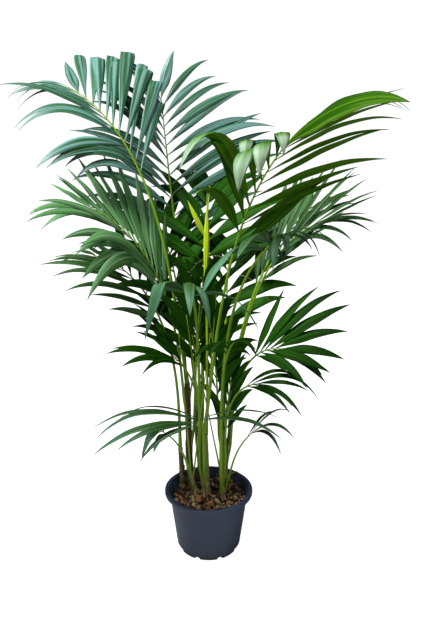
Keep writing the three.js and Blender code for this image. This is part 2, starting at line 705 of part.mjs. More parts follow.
function makeSpear() {
  const { heights } = SPEAR;
  const radii = SPEAR.radii.map((share) => share * SPEAR.radius);
  const stem = stemAt(STEMS[SPEAR.stem], SPEAR.foot);
  const reach = stem.radius + SPEAR.radius + GAP;
  const side = radians(SPEAR.side);
  const foot = stem.point.add(new THREE.Vector3(reach * Math.cos(side), reach * Math.sin(side), 0));
  const rings = heights.length - 1;
  const rod = new THREE.CylinderGeometry(1, 1, 1, SPEAR.sides, rings);
  const sectionAt = (share) => {
    const i = Math.round(share * rings);
    return {
      point: foot.clone().setZ(mix(SPEAR.foot, SPEAR.top, heights[i])),
      across: new THREE.Vector3(radii[i], 0, 0),
      up: new THREE.Vector3(0, -radii[i], 0),
    };
  };
  const root = foot.clone().setZ(SPEAR_LEAF.from);
  const tip = new THREE.Vector3(...SPEAR_LEAF.tip);
  const along = tip.clone().sub(root).normalize();
  const across = new THREE.Vector3().crossVectors(along, new THREE.Vector3(0, -1, 0)).normalize();
  const up = new THREE.Vector3().crossVectors(across, along);
  const blade = new THREE.ConeGeometry(1, 1, 3, 2);
  const bladeAt = (share) => ({
    point: root.clone().lerp(tip, share),
    across: across
      .clone()
      .multiplyScalar((SPEAR_LEAF.width / 2) * (share === 0 ? SPEAR_LEAF.rootWidth : 1)),
    up: up.clone().multiplyScalar(SPEAR_LEAF.ridge),
  });
  return wasm.Manifold.union([toSolid(bend(rod, sectionAt)), toSolid(bend(blade, bladeAt, true))]);
}

// ---------------------------------------------------------------- the plant

const plant = new THREE.Group();

function add(name, solid, colour, roughness) {
  const material = new THREE.MeshStandardMaterial({ color: COLOURS[colour], roughness, metalness: 0 });
  const mesh = new THREE.Mesh(toGeometry(solid), material);
  mesh.name = name;
  plant.add(mesh);
}

add('pot', place(makePot()), 'pot', 0.45);
add('soil', place(makeSoil()), 'soil', 0.95);

for (const [name, stem] of Object.entries(STEMS)) {
  add(`stem_${name}`, place(makeStem(stem)), stem.bark, 0.7);
}

for (const [name, frond] of Object.entries(FRONDS)) {
  const petiole = ribTube(frond, midrib(frond), 0, frond.blade);
  add(`petiole_${name}`, place(petiole), 'petiole', 0.45);
}

add('spear', place(makeSpear()), 'spear', 0.45);

const midribs = {};
for (const [name, frond] of Object.entries(FRONDS)) {
  const from = frond.blade + GAP / frond.length;
  midribs[name] = place(ribTube(frond, midrib(frond), from, 1));
}

for (const [name, frond] of Object.entries(FRONDS)) {
  add(`frond_${name}`, makeFrond(frond, midribs[name]), 'frond', 0.4);
}

export default plant;
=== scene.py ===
"""A kentia palm in its nursery pot: seven slender stems, their feather-like fronds, the
bark compost and the pot, with a plain studio stage and camera.

Metres and degrees, +Z up, the front towards -Y, the origin under the pot's centre.
Every frond grows by one rule: a midrib that arches over, and pairs of leaflets on it that
open, lift, droop and sometimes fold.  Each leaflet is a flat grid that is bent."""

import json
from dataclasses import dataclass
from math import cos, floor, pi, radians, sin, sqrt, tau

import bmesh
import bpy
from mathutils import Euler, Matrix, Vector, noise
from mathutils.bvhtree import BVHTree

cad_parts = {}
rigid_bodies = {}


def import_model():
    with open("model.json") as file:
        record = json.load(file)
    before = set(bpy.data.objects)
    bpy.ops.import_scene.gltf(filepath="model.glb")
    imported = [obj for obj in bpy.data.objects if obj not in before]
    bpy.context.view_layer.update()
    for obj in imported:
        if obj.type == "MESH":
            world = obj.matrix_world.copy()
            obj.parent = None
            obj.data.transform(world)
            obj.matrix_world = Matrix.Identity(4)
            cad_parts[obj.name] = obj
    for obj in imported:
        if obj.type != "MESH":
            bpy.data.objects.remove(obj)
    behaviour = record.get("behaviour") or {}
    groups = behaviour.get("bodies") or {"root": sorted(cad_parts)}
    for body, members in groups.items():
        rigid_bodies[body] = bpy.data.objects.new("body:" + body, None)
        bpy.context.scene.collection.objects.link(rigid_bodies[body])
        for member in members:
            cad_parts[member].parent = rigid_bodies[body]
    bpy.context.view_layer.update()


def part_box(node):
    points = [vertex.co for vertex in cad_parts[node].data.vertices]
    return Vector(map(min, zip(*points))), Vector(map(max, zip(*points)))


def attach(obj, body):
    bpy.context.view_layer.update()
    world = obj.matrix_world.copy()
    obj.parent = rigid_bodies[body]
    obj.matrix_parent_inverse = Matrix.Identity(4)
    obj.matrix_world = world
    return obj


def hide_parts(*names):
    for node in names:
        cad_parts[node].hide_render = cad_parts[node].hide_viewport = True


bl_info = {
    "name": "Potted Kentia Palm",
    "version": (1, 0, 0),
    "blender": (4, 5, 0),
    "location": "View3D > Sidebar > Kentia",
    "description": "Makes a kentia palm with its fronds, stems, compost and pot",
    "category": "Add Mesh",
}

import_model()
BODY = "root"
MM = 0.001

POT_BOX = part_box("pot")
SOIL_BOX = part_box("soil")


# ------------------------------------------------------------------ the plant's own measures

@dataclass
class Stem:
    """A slender trunk, straight from its foot in the compost to its top."""

    foot: tuple
    top: tuple
    foot_radius: float
    top_radius: float
    bark: str
    scars: float = 0.032  # distance between the leaf scars that ring it


@dataclass
class Side:
    """The habit of the leaflets on one side of a frond.

    A pair in a tuple is for the blade's two ends, or where a stretch of it begins and ends."""

    lift: float  # degrees
    droop: float
    fold: float = 0.0  # share of a leaflet's length at which it folds over
    folded: tuple = (0.0, 1.0)  # the stretch whose leaflets fold
    band: tuple = (2.0, 2.0)  # the stretch whose leaflets have a kind of their own
    open: float = 1.0  # share of the opening of those in the band
    wide: float = 1.0  # share of their width
    spread: tuple = (1.0, 1.0)  # shares of the opening at the blade's two ends
    size: tuple = (1.0, 1.0)  # shares of the length
    broad: tuple = (1.0, 1.0)  # shares of the width
    sag: tuple = (1.0, 1.0)  # shares of the droop
    short: tuple = (1.0, 1.0)  # shares of the length of those that fold, at their two ends
    long: float = 1.0  # share of the length of those in the band
    steep: float = 0.0  # degrees added to the lift of those in the band
    slack: float = 1.0  # share of their droop
    gone: tuple = ()  # pairs that have lost theirs on this side


@dataclass
class Frond:
    """A leaf: its stalk's place on a stem, the arch of its midrib, and its leaflets."""

    stem: str
    heading: float  # degrees from +X
    length: float  # of stalk and midrib
    rise: float  # degrees from upright, at its foot
    arch: float  # and at its tip
    curl: float  # how late it arches over
    blade: float  # share of the length at which the leaflets begin
    pairs: int
    leaf: float  # length of the longest leaflets
    wide: float  # and their width
    open: tuple  # degrees between midrib and leaflet, at the blade's two ends
    left: Side
    right: Side
    twist: float  # how far a leaflet turns level towards its tip
    seed: int
    foot: float = None  # height on its stem, or None on the stem's top
    side: float = 0.0  # degrees round the stem, for a stalk against its side
    roll: float = 0.0  # degrees by which the blade turns about its midrib
    finish: str = "deep"


SOIL_TOP = SOIL_BOX[1].z
GAP = 0.3 * MM
STALK_FOOT = 6.0 * MM  # the room that a stalk's foot takes beside its stem
FOOT_ROOM = 0.5 * MM

STEMS = {
    "back_left": Stem((-0.052, 0.064), (-0.058, 0.062, 0.470), 0.010, 0.0075, "brown"),
    "far_left": Stem((-0.072, 0.048), (-0.078, 0.046, 0.280), 0.008, 0.006, "olive"),
    "front_left": Stem((-0.037, 0.010), (-0.052, 0.016, 0.225), 0.009, 0.006, "green"),
    "back_centre": Stem((-0.024, 0.080), (-0.027, 0.080, 0.380), 0.008, 0.0065, "brown"),
    "centre": Stem((-0.007, 0.012), (-0.011, 0.018, 0.340), 0.011, 0.0085, "green"),
    "front_right": Stem((0.038, 0.002), (0.034, 0.004, 0.230), 0.007, 0.0058, "green"),
    "back_right": Stem((0.046, 0.074), (0.040, 0.070, 0.330), 0.010, 0.0075, "pink"),
}

EVEN = Side(10, 0.7)  # the habit of both sides of the fronds at the back

# The fronds with the shade finish lie inside the clump, low down and at the back; their darker green
# is painted shade.
FRONDS = {
    "upper_left": Frond(
        "back_left", heading=155, length=0.900, rise=8, arch=75, curl=2.9, blade=0.62, pairs=13,
        leaf=0.280, wide=0.028, open=(46, 14), twist=0.3, seed=11, finish="teal",
        left=Side(-6, 1.2, band=(0.12, 0.31), open=1.5, broad=(1.15, 0.9)), right=Side(
            26, 0.15, fold=0.80, folded=(0, 0.8), spread=(0.85, 2.4), size=(1.3, 0.8),
            broad=(1.45, 1.45), gone=(11, 12))),
    "top": Frond(
        "back_centre", heading=110, length=0.870, rise=23, arch=15, curl=1.9, blade=0.52, pairs=15,
        leaf=0.350, wide=0.028, open=(58, 20), twist=0.4, seed=12, finish="teal",
        left=Side(12, 0.8, size=(0.9, 0.85)), right=Side(
            -5, 0.6, band=(0.96, 1), open=0.5, wide=1.65, long=0.8, spread=(1, 1.9),
            size=(1.15, 1.05))),
    "right_front": Frond(
        "centre", heading=-45, length=1.100, rise=8, arch=71, curl=2.6, blade=0.48, pairs=15,
        leaf=0.300, wide=0.036, open=(62, 10), twist=0.3, seed=13, finish="bright",
        left=Side(
            -15, 0.8, band=(0, 0.12), open=0.72, wide=1.7, spread=(1, 1.4), size=(1.2, 1.0),
            sag=(0.15, 1.2), broad=(0.85, 0.62), gone=(10, 12)),
        right=Side(
            36, 0.75, fold=0.70, folded=(0.30, 0.52), band=(0.55, 0.60), open=0.5, wide=2.1,
            spread=(0.54, 0.95), size=(0.5, 4.4), sag=(2.3, 1.4), short=(0.56, 0.21), long=0.63,
            steep=-64, slack=0.54, gone=(0, 9, 10, 11, 12, 13, 14))),
    "left": Frond(
        "back_left", foot=0.380, side=245, heading=188, length=0.660, rise=4, arch=62, curl=2.3,
        blade=0.50, pairs=13, leaf=0.360, wide=0.036, open=(75, 20), twist=0.1, seed=14,
        finish="fan", left=Side(
            -10, 0.8, band=(0.3, 0.5), open=1.5, spread=(0.5, 1), size=(1.4, 1)),
        right=Side(28, 0.3, spread=(0.6, 1), size=(0.85, 0.8), broad=(1.2, 1.2))),
    "right": Frond(
        "back_right", heading=0, length=0.680, rise=10, arch=76, curl=3.6, blade=0.62, pairs=10,
        leaf=0.270, wide=0.026, open=(50, 16), twist=0.5, seed=15,
        left=Side(20, 0.3, spread=(0.55, 1), size=(1, 1.25), broad=(0.7, 0.9)),
        right=Side(5, 0.9, gone=(0, 1, 2))),
    "right_back": Frond(
        "back_right", foot=0.260, side=30, heading=35, length=0.740, rise=2, arch=62, curl=1.9,
        blade=0.62, pairs=9, leaf=0.250, wide=0.027, open=(42, 14), twist=0.5, seed=21,
        left=Side(15, 0.4, spread=(0.6, 1)), right=Side(5, 0.5)),
    "right_near": Frond(
        "front_right", heading=-42, length=0.780, rise=0, arch=58, curl=2.6, blade=0.86, pairs=4,
        leaf=0.270, wide=0.038, open=(75, 30), twist=0.1, seed=23,
        left=Side(10, 2.6, size=(0.45, 0.85), broad=(0.6, 0.6)),
        right=Side(25, 1.2, size=(1.25, 0.5), sag=(1, 2.5), broad=(1.7, 0.7))),
    "right_low": Frond(
        "back_right", foot=0.230, side=-25, heading=-25, length=0.440, rise=3, arch=98, curl=3.4,
        blade=0.76, pairs=6, leaf=0.265, wide=0.034, open=(43, 8), roll=-50, twist=0.2, seed=16,
        finish="shade", left=Side(10, 0.45, spread=(0.9, 1), size=(0.9, 1.1)), right=Side(
            10, 0.7, size=(0.75, 0.9), broad=(0.6, 0.8))),
    "low_right": Frond(
        "front_right", foot=0.224, side=0, heading=-22, length=0.330, rise=-2, arch=84, curl=3.1,
        blade=0.84, pairs=3, leaf=0.225, wide=0.016, open=(16, 3), roll=-40, twist=0.3, seed=17,
        finish="shade", left=Side(10, 1.5), right=Side(5, 1.2, spread=(2.2, 2), size=(0.7, 1))),
    "left_back": Frond(
        "far_left", heading=150, length=0.645, rise=1, arch=92, curl=2.3, blade=0.56, pairs=9,
        leaf=0.260, wide=0.027, open=(58, 20), twist=0.5, seed=22,
        left=Side(5, 0.7), right=Side(15, 0.7)),
    "mid_left": Frond(
        "centre", foot=0.255, side=145, heading=185, length=0.328, rise=0, arch=50, curl=2.9,
        blade=0.86, pairs=4, leaf=0.260, wide=0.025, open=(40, 16), roll=25, twist=0.1, seed=18,
        finish="shade", left=Side(20, 1.0, size=(0.85, 1.25), sag=(1.3, 0.6)), right=Side(
            5, 0.7, size=(0.75, 0.9))),
    "lowest": Frond(
        "centre", foot=0.215, side=255, heading=262, length=0.290, rise=0, arch=106, curl=2.5,
        blade=0.82, pairs=6, leaf=0.300, wide=0.024, open=(85, 58), twist=0, seed=19,
        left=Side(25, 1.5, size=(1.0, 0.5), broad=(1.4, 0.9), gone=(1, 3, 4, 5)),
        right=Side(28, 1.2, size=(0.95, 1.15), broad=(1.35, 1.2))),
    "inner_right": Frond(
        "back_right", foot=0.270, side=215, heading=235, length=0.460, rise=3, arch=20, curl=2.2,
        blade=0.34, pairs=9, leaf=0.210, wide=0.032, open=(32, 12), twist=0.2, seed=41,
        finish="shade", left=EVEN, right=EVEN),
    "inner_left": Frond(
        "back_left", foot=0.300, side=335, heading=300, length=0.500, rise=3, arch=16, curl=2.6,
        blade=0.42, pairs=8, leaf=0.200, wide=0.029, open=(36, 16), twist=0.1, seed=42,
        finish="shade", left=Side(10, 0.6), right=Side(10, 0.6)),
    "inner_mid": Frond(
        "front_right", foot=0.180, side=75, heading=40, length=0.350, rise=2, arch=12, curl=2.0,
        blade=0.42, pairs=6, leaf=0.160, wide=0.026, open=(34, 14), twist=0.1, seed=43,
        finish="shade", left=Side(10, 0.5), right=Side(10, 0.5)),
    "front_mid": Frond(
        "centre", foot=0.210, side=190, heading=262, length=0.655, rise=-1.5, arch=58, curl=2.8,
        blade=0.88, pairs=3, leaf=0.230, wide=0.036, open=(72, 30), twist=0, seed=20,
        left=Side(8, 2.0, spread=(1, 0.7), size=(1.25, 0.8), sag=(0.8, 3), broad=(0.9, 0.6),
                  gone=(1,)),
        right=Side(0, 0.4, fold=0.26, folded=(0, 0.3), spread=(0.85, -0.25), size=(1.0, 1.4),
                   sag=(1, 5), broad=(1.7, 1), gone=(1,))),
    "front_low": Frond(
        "front_right", foot=0.180, side=255, heading=-70, length=0.510, rise=-1, arch=58,
        curl=3.6, blade=0.82, pairs=4, leaf=0.190, wide=0.032, open=(70, 25), twist=0, seed=24,
        finish="shade", left=Side(15, 2.2, size=(0.5, 0.6)), right=Side(
            25, 1.3, size=(0.65, 0.7))),
    "small_left": Frond(
        "front_left", heading=180, length=0.165, rise=16, arch=75, curl=2, blade=0.78, pairs=3,
        leaf=0.110, wide=0.020, open=(65, 25), twist=0.3, seed=25,
        left=Side(5, 2.8), right=Side(0, 4, size=(0.8, 0.8))),
    "small_right": Frond(
        "front_right", foot=0.170, side=22, heading=-12, length=0.200, rise=8, arch=45, curl=2,
        blade=0.88, pairs=2, leaf=0.215, wide=0.016, open=(34, 24), twist=0.3, seed=26,
        left=Side(20, 1.3, size=(0.7, 1.25)), right=Side(10, 1.8)),
    "back_high": Frond(
        "back_centre", foot=0.320, side=50, heading=85, length=0.740, rise=3, arch=72, curl=2.3,
        blade=0.54, pairs=8, leaf=0.250, wide=0.038, open=(58, 18), twist=0.5, seed=31,
        finish="shade", left=EVEN, right=EVEN),
    "back_left_mid": Frond(
        "back_left", foot=0.330, side=100, heading=115, length=0.640, rise=3, arch=75, curl=2.5,
        blade=0.54, pairs=8, leaf=0.280, wide=0.040, open=(58, 18), twist=0.5, seed=32,
        finish="shade", left=EVEN, right=EVEN),
    "back_right_mid": Frond(
        "back_right", foot=0.250, side=95, heading=85, length=0.620, rise=3, arch=75, curl=2.5,
        blade=0.55, pairs=7, leaf=0.220, wide=0.038, open=(58, 18), twist=0.5, seed=33,
        finish="shade", left=EVEN, right=EVEN),
    "back_low": Frond(
        "back_centre", foot=0.240, side=130, heading=95, length=0.430, rise=5, arch=85, curl=2.5,
        blade=0.60, pairs=7, leaf=0.240, wide=0.030, open=(60, 18), twist=0.5, seed=34,
        finish="shade", left=EVEN, right=EVEN),
}

RIB_STEPS = 40  # steps in which a midrib's curve is worked out
LEAF_STEPS = 18  # rows of faces along a leaflet
LEAF_ACROSS = 6  # faces across a leaflet
TRIES = ((0, 1), (6, 1), (-6, 1), (12, 1), (-12, 1), (0, 0.7), (8, 0.6), (-8, 0.6), (0, 0.45))
FOLD_PULL = 3  # how hard a folding leaflet turns down, and over which share of its length
FOLD_SPAN = 0.25
NEAR_NOTHING = 0.01
BLADE_END = 0.995  # share of a midrib's length at which the last leaflets stand
THINNEST = 0.4 * MM  # width of a leaflet at its very tip
FORM_PEAK = 0.42  # share of a leaflet's length at which it is broadest
FORM_TAPER = 1.9
FOLDED_TAPER = 1.2
DOWN = Vector((0, 0, -1))


# ------------------------------------------------------------------ settings a user may change

def colour_of(name, description, default):
    """A colour that the panel shows."""
    return bpy.props.FloatVectorProperty(
        name=name, description=description, subtype="COLOR", default=default, min=0, max=1)


def length_of(name, description, default):
    """A length that the panel shows in the scene's unit."""
    return bpy.props.FloatProperty(
        name=name, description=description, default=default, unit="LENGTH")


class PotSettings(bpy.types.PropertyGroup):
    colour: colour_of("Pot Colour", "Colour of the pot's plastic", (0.038, 0.056, 0.106))
    wall: length_of("Wall", "Thickness of the pot's wall", 0.0025)
    steps: bpy.props.IntProperty(
        name="Steps", description="Faces round the pot", default=256, min=64)
    notches: bpy.props.IntProperty(
        name="Notches", description="Drainage notches round the foot", default=8)
    notch_width: length_of("Notch Width", "Width of a drainage notch", 0.014)
    notch_height: length_of("Notch Height", "Height of a drainage notch", 0.006)


class CompostSettings(bpy.types.PropertyGroup):
    chips: bpy.props.IntProperty(
        name="Chips", description="Pieces of bark on the compost", default=1500)
    chip_size: length_of("Chip Size", "Length of a large piece of bark", 0.020)
    dark: colour_of("Dark Bark", "Colour of the dark pieces", (0.018, 0.007, 0.003))
    brown: colour_of("Brown Bark", "Colour of most pieces", (0.17, 0.062, 0.026))
    orange: colour_of("Orange Bark", "Colour of the freshly broken pieces", (0.60, 0.27, 0.10))
    tan: colour_of("Tan Bark", "Colour of the palest pieces", (0.95, 0.60, 0.30))


class StemSettings(bpy.types.PropertyGroup):
    flare: bpy.props.FloatProperty(
        name="Root Flare", description="How much a stem widens at its foot", default=0.3,
        subtype="FACTOR", min=0, max=1)
    flare_height: length_of("Flare Height", "Height over which it widens", 0.028)
    scar_ledge: length_of("Scar Ledge", "How far a leaf scar stands out", 0.0006)
    brown: colour_of("Brown Sheath", "Colour of dry sheaths", (0.20, 0.115, 0.052))
    olive: colour_of("Olive Stem", "Colour of an ageing stem", (0.16, 0.17, 0.04))
    green: colour_of("Green Stem", "Colour of a young stem", (0.20, 0.31, 0.035))
    pink: colour_of("Pink Sheath", "Colour of fresh brown sheaths", (0.36, 0.19, 0.115))


class FrondSettings(bpy.types.PropertyGroup):
    thickness: length_of("Leaf Thickness", "Thickness of a leaflet", 0.0005)
    pleat: bpy.props.FloatProperty(
        name="Pleat", description="Angle at which a leaflet's halves fall from its rib",
        default=radians(24), subtype="ANGLE")
    stalk_colour: colour_of("Stalk Colour", "Colour of the leaf stalks", (0.20, 0.43, 0.010))
    deep: colour_of("Deep Green", "Colour of the outer leaflets", (0.018, 0.068, 0.009))
    fan: colour_of(
        "Middle Green", "Colour of the broad fan at the left", (0.072, 0.210, 0.062))
    # A blue-green that paints the sky's reflection into the colour of the leaflets in full light
    # (painted sheen).
    teal: colour_of(
        "Blue Green", "Colour of the old leaflets in full light", (0.026, 0.105, 0.044))
    # A yellow-green for the front frond: its fresh green, raised to paint in the light that shines
    # through its leaflets (painted light).
    bright: colour_of("Fresh Green", "Colour of the young leaflets", (0.022, 0.105, 0.0010))
    # A darker green for the leaflets inside the clump, low down and at the back: painted shade.
    shade: colour_of(
        "Inner Green", "Colour of the leaflets inside the clump", (0.008, 0.052, 0.0010))
    # The spear's own yellow-green, raised to paint in the light that shines through it (painted
    # light).
    spear_backlit_colour: colour_of(
        "Spear Colour", "Colour of the leaves that are still closed", (0.78, 1.0, 0.010))
    thread_colour: colour_of("Thread Colour", "Colour of the dry threads", (0.42, 0.46, 0.24))


class StageSettings(bpy.types.PropertyGroup):
    floor_colour: colour_of("Floor Colour", "Colour of the floor", (0.55, 0.55, 0.55))
    floor_radius: length_of("Floor Radius", "Radius of the round floor", 45.0)
    world_light: bpy.props.FloatProperty(
        name="Room Light", description="Strength of the light from all round", default=0.07)
    floor_glow: bpy.props.FloatProperty(
        name="Floor Glow", description="Light that the floor shows but doesn't cast", default=0.99)
    top_power: bpy.props.FloatProperty(
        name="Top Light", description="Power of the large light overhead", default=128.0,
        unit="POWER")
    front_power: bpy.props.FloatProperty(
        name="Front Light", description="Power of the light beside the camera", default=22.0,
        unit="POWER")


# ------------------------------------------------------------------ small helpers

def mix(a, b, share):
    return a + (b - a) * share


def smooth(x):
    x = min(max(x, 0.0), 1.0)
    return x * x * (3 - 2 * x)


def level_way(angle):
    """The level direction at an angle from +X."""
    return Vector((cos(angle), sin(angle), 0))


def slanting_way(heading, slant):
    """The direction over a heading, at an angle from upright."""
    return Vector((cos(heading) * sin(slant), sin(heading) * sin(slant), cos(slant)))


def left_of(heading):
    return Vector((-sin(heading), cos(heading), 0))


class Chances:
    """A seeded series of numbers between -1 and 1."""

    def __init__(self, seed):
        self.state = seed

    def draw(self, low=-1.0, high=1.0):
        self.state = (self.state * 1664525 + 1013904223) % 4294967296
        return mix(low, high, self.state / 4294967296)


def bend_grid(bm, across, along, place, material=0):
    """Adds a flat grid to bm and bends it: place(u, v) gives the point of each corner."""
    if bm.loops.layers.uv.active is None:
        bm.loops.layers.uv.new("UVMap")
    made = bmesh.ops.create_grid(
        bm, x_segments=across, y_segments=along, size=1, calc_uvs=True)
    for vert in made["verts"]:
        vert.co = place((vert.co.x + 1) / 2, (vert.co.y + 1) / 2)
    faces = list({face for vert in made["verts"] for face in vert.link_faces})
    for face in faces:
        face.material_index = material
        face.smooth = True
    return made["verts"], faces


def bend_tube(bm, sides, rings, place, material=0, tight=1e-6):
    """Adds a closed tube: a grid bent round, its seam merged and its two ends filled."""
    verts, faces = bend_grid(bm, sides, rings, place, material)
    bmesh.ops.remove_doubles(bm, verts=verts, dist=tight)
    verts = [vert for vert in verts if vert.is_valid]
    rims = [edge for edge in {e for v in verts for e in v.link_edges} if edge.is_boundary]
    caps = bmesh.ops.holes_fill(bm, edges=rims, sides=0)["faces"]
    for cap in caps:
        cap.material_index = material
    return verts


def finish_piece(name, bm, materials, nodes=(), outward=True):
    """Turns bm into a piece that rides on the plant and stands for the named nodes."""
    if outward:
        bmesh.ops.recalc_face_normals(bm, faces=bm.faces)
    mesh = bpy.data.meshes.new(name)
    bm.to_mesh(mesh)
    bm.free()
    for material in materials:
        mesh.materials.append(material)
    piece = bpy.data.objects.new(name, mesh)
    bpy.context.scene.collection.objects.link(piece)
    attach(piece, BODY)
    if nodes:
        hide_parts(*nodes)
    return piece


# ------------------------------------------------------------------ materials

class Sheet:
    """Short calls for building a node tree."""

    def __init__(self, tree):
        self.tree = tree

    def node(self, kind, **values):
        made = self.tree.nodes.new(kind)
        for key, value in values.items():
            setattr(made, key, value)
        return made

    def put(self, socket, value):
        """Links what feeds a socket, or sets its number or its colour."""
        if isinstance(value, bpy.types.NodeSocket):
            self.tree.links.new(value, socket)
        elif isinstance(value, (int, float)):
            socket.default_value = value
        else:
            socket.default_value = (*value[:3], 1)

    def where(self):
        return self.node("ShaderNodeTexCoord").outputs["Object"]

    def uv(self):
        return self.node("ShaderNodeUVMap", uv_map="UVMap").outputs[0]

    def attribute(self, name):
        return self.node("ShaderNodeAttribute", attribute_name=name).outputs["Fac"]

    def split(self, vector):
        made = self.node("ShaderNodeSeparateXYZ")
        self.put(made.inputs[0], vector)
        return made.outputs

    def math(self, operation, a, b=None, clamp=False):
        made = self.node("ShaderNodeMath", operation=operation, use_clamp=clamp)
        self.put(made.inputs[0], a)
        if b is not None:
            self.put(made.inputs[1], b)
        return made.outputs[0]

    def plus(self, a, b):
        return self.math("ADD", a, b)

    def minus(self, a, b, clamp=False):
        return self.math("SUBTRACT", a, b, clamp)

    def times(self, a, b, clamp=False):
        return self.math("MULTIPLY", a, b, clamp)

    def fade(self, value, slope):
        """1 where the value is nothing or less, and 0 from 1 / slope on."""
        return self.minus(1.0, self.times(value, slope), clamp=True)

    def ramp(self, source, *stops):
        made = self.node("ShaderNodeValToRGB")
        points = made.color_ramp.elements
        while len(points) < len(stops):
            points.new(0.5)
        for point, (place, colour) in zip(points, stops):
            point.position = place
            point.color = (*colour[:3], 1)
        self.put(made.inputs["Fac"], source)
        return made.outputs["Color"]

    def blend(self, factor, a, b, share=1.0):
        """Colour a turned towards colour b, by a share of the factor."""
        made = self.node("ShaderNodeMix", data_type="RGBA")
        for index, value in ((0, self.times(factor, share)), (6, a), (7, b)):
            self.put(made.inputs[index], value)
        return made.outputs[2]

    def noise(self, vector, stretch, detail):
        """Soft noise, finer along each axis by that axis's number in stretch."""
        spread = self.node("ShaderNodeMapping")
        spread.inputs["Scale"].default_value = stretch
        self.put(spread.inputs["Vector"], vector)
        made = self.node("ShaderNodeTexNoise")
        made.inputs["Scale"].default_value = 1.0
        made.inputs["Detail"].default_value = detail
        self.put(made.inputs["Vector"], spread.outputs["Vector"])
        return made.outputs["Fac"]

    def group(self, tree, values):
        made = self.node("ShaderNodeGroup", node_tree=tree)
        for name, value in values.items():
            self.put(made.inputs[name], value)
        return made.outputs

    def mottle(self, patch, grain):
        """Patches and grain of two scales, as a pair of values."""
        tree = shared_group(
            "mottle", fill_mottle, {"Vector": "Vector", "Patch Scale": "Float",
                                    "Grain Scale": "Float"}, ("Patch", "Grain"))
        found = self.group(
            tree, {"Vector": self.where(), "Patch Scale": patch, "Grain Scale": grain})
        return found["Patch"], found["Grain"]

    def surface(self, colour, roughness, height=None, bump=0.3, distance=0.001):
        shader = self.node("ShaderNodeBsdfPrincipled")
        output = self.node("ShaderNodeOutputMaterial")
        self.put(output.inputs["Surface"], shader.outputs[0])
        self.put(shader.inputs["Base Color"], colour)
        self.put(shader.inputs["Roughness"], roughness)
        if height is not None:
            relief = self.node("ShaderNodeBump")
            relief.inputs["Strength"].default_value = bump
            relief.inputs["Distance"].default_value = distance
            self.put(relief.inputs["Height"], height)
            self.put(shader.inputs["Normal"], relief.outputs["Normal"])
        return shader


def skin_of(name, build, *values):
    """The material of a name, which build makes when it's first asked for."""
    if name not in bpy.data.materials:
        material = bpy.data.materials.new(name)
        material.use_nodes = True
        material.node_tree.nodes.clear()
        build(Sheet(material.node_tree), *values)
    return bpy.data.materials[name]


def shared_group(name, build, inputs, outputs):
    """The node group of a name, which build fills when it's first asked for."""
    if name not in bpy.data.node_groups:
        tree = bpy.data.node_groups.new(name, "ShaderNodeTree")
        for socket, kind in inputs.items():
            tree.interface.new_socket(
                socket, in_out="INPUT", socket_type=f"NodeSocket{kind}")
        for socket in outputs:
            tree.interface.new_socket(socket, in_out="OUTPUT", socket_type="NodeSocketFloat")
        sheet = Sheet(tree)
        build(sheet, sheet.node("NodeGroupInput").outputs, sheet.node("NodeGroupOutput").inputs)
    return bpy.data.node_groups[name]


def fill_leaf_veins(sheet, given, result):
    """Long veins that run with a leaflet: their relief, the midrib's mask, and the mask of pale
    streaks, whose colour is partly painted sheen.
    """
    place = sheet.split(sheet.uv())
    across = place["X"]
    midrib = sheet.fade(sheet.math("ABSOLUTE", sheet.minus(across, 0.5)), 22.0)
    turns = sheet.times(sheet.times(across, given["Veins"]), tau)
    fine = sheet.plus(sheet.times(sheet.math("SINE", turns), 0.5), 0.5)
    wide = sheet.math("SINE", sheet.times(turns, 0.21))
    lines = sheet.plus(sheet.times(fine, 0.45), sheet.times(wide, 0.4))
    shift = sheet.times(given["Shift"], 31.0)
    spot = sheet.node("ShaderNodeCombineXYZ")
    sheet.put(spot.inputs["X"], sheet.plus(sheet.times(across, 5.0), shift))
    sheet.put(spot.inputs["Y"], sheet.times(place["Y"], 0.9))
    sheet.put(spot.inputs["Z"], shift)
    cloud = sheet.noise(spot.outputs[0], (1, 1, 1), 2.0)
    sheet.put(result["Height"], sheet.minus(lines, sheet.times(midrib, 0.9)))
    sheet.put(result["Midrib"], midrib)
    sheet.put(result["Lines"], fine)
    sheet.put(result["Streaks"], sheet.times(sheet.minus(cloud, 0.45), 6.5, clamp=True))


def fill_mottle(sheet, given, result):
    """Soft patches and a fine grain on object coordinates."""
    for name, detail in (("Patch", 3.0), ("Grain", 2.0)):
        cloud = sheet.node("ShaderNodeTexNoise")
        cloud.inputs["Detail"].default_value = detail
        sheet.put(cloud.inputs["Vector"], given["Vector"])
        sheet.put(cloud.inputs["Scale"], given[f"{name} Scale"])
        sheet.put(result[name], cloud.outputs["Fac"])


def scaled(colour, share):
    return tuple(min(channel * share, 1.0) for channel in colour[:3])


def towards(a, b, share):
    return tuple(mix(x, y, share) for x, y in zip(a[:3], b[:3]))


def warmed(colour, share):
    """The same colour turned towards yellow, and no brighter in its green."""
    return mix(colour[0], 0.85 * colour[1], share), colour[1], colour[2]


DRY_TIP = (0.16, 0.10, 0.035)
LEAF_VEINS = 13.0  # across a leaflet
TIP_START = 0.965  # share of a leaflet's length from which it dries


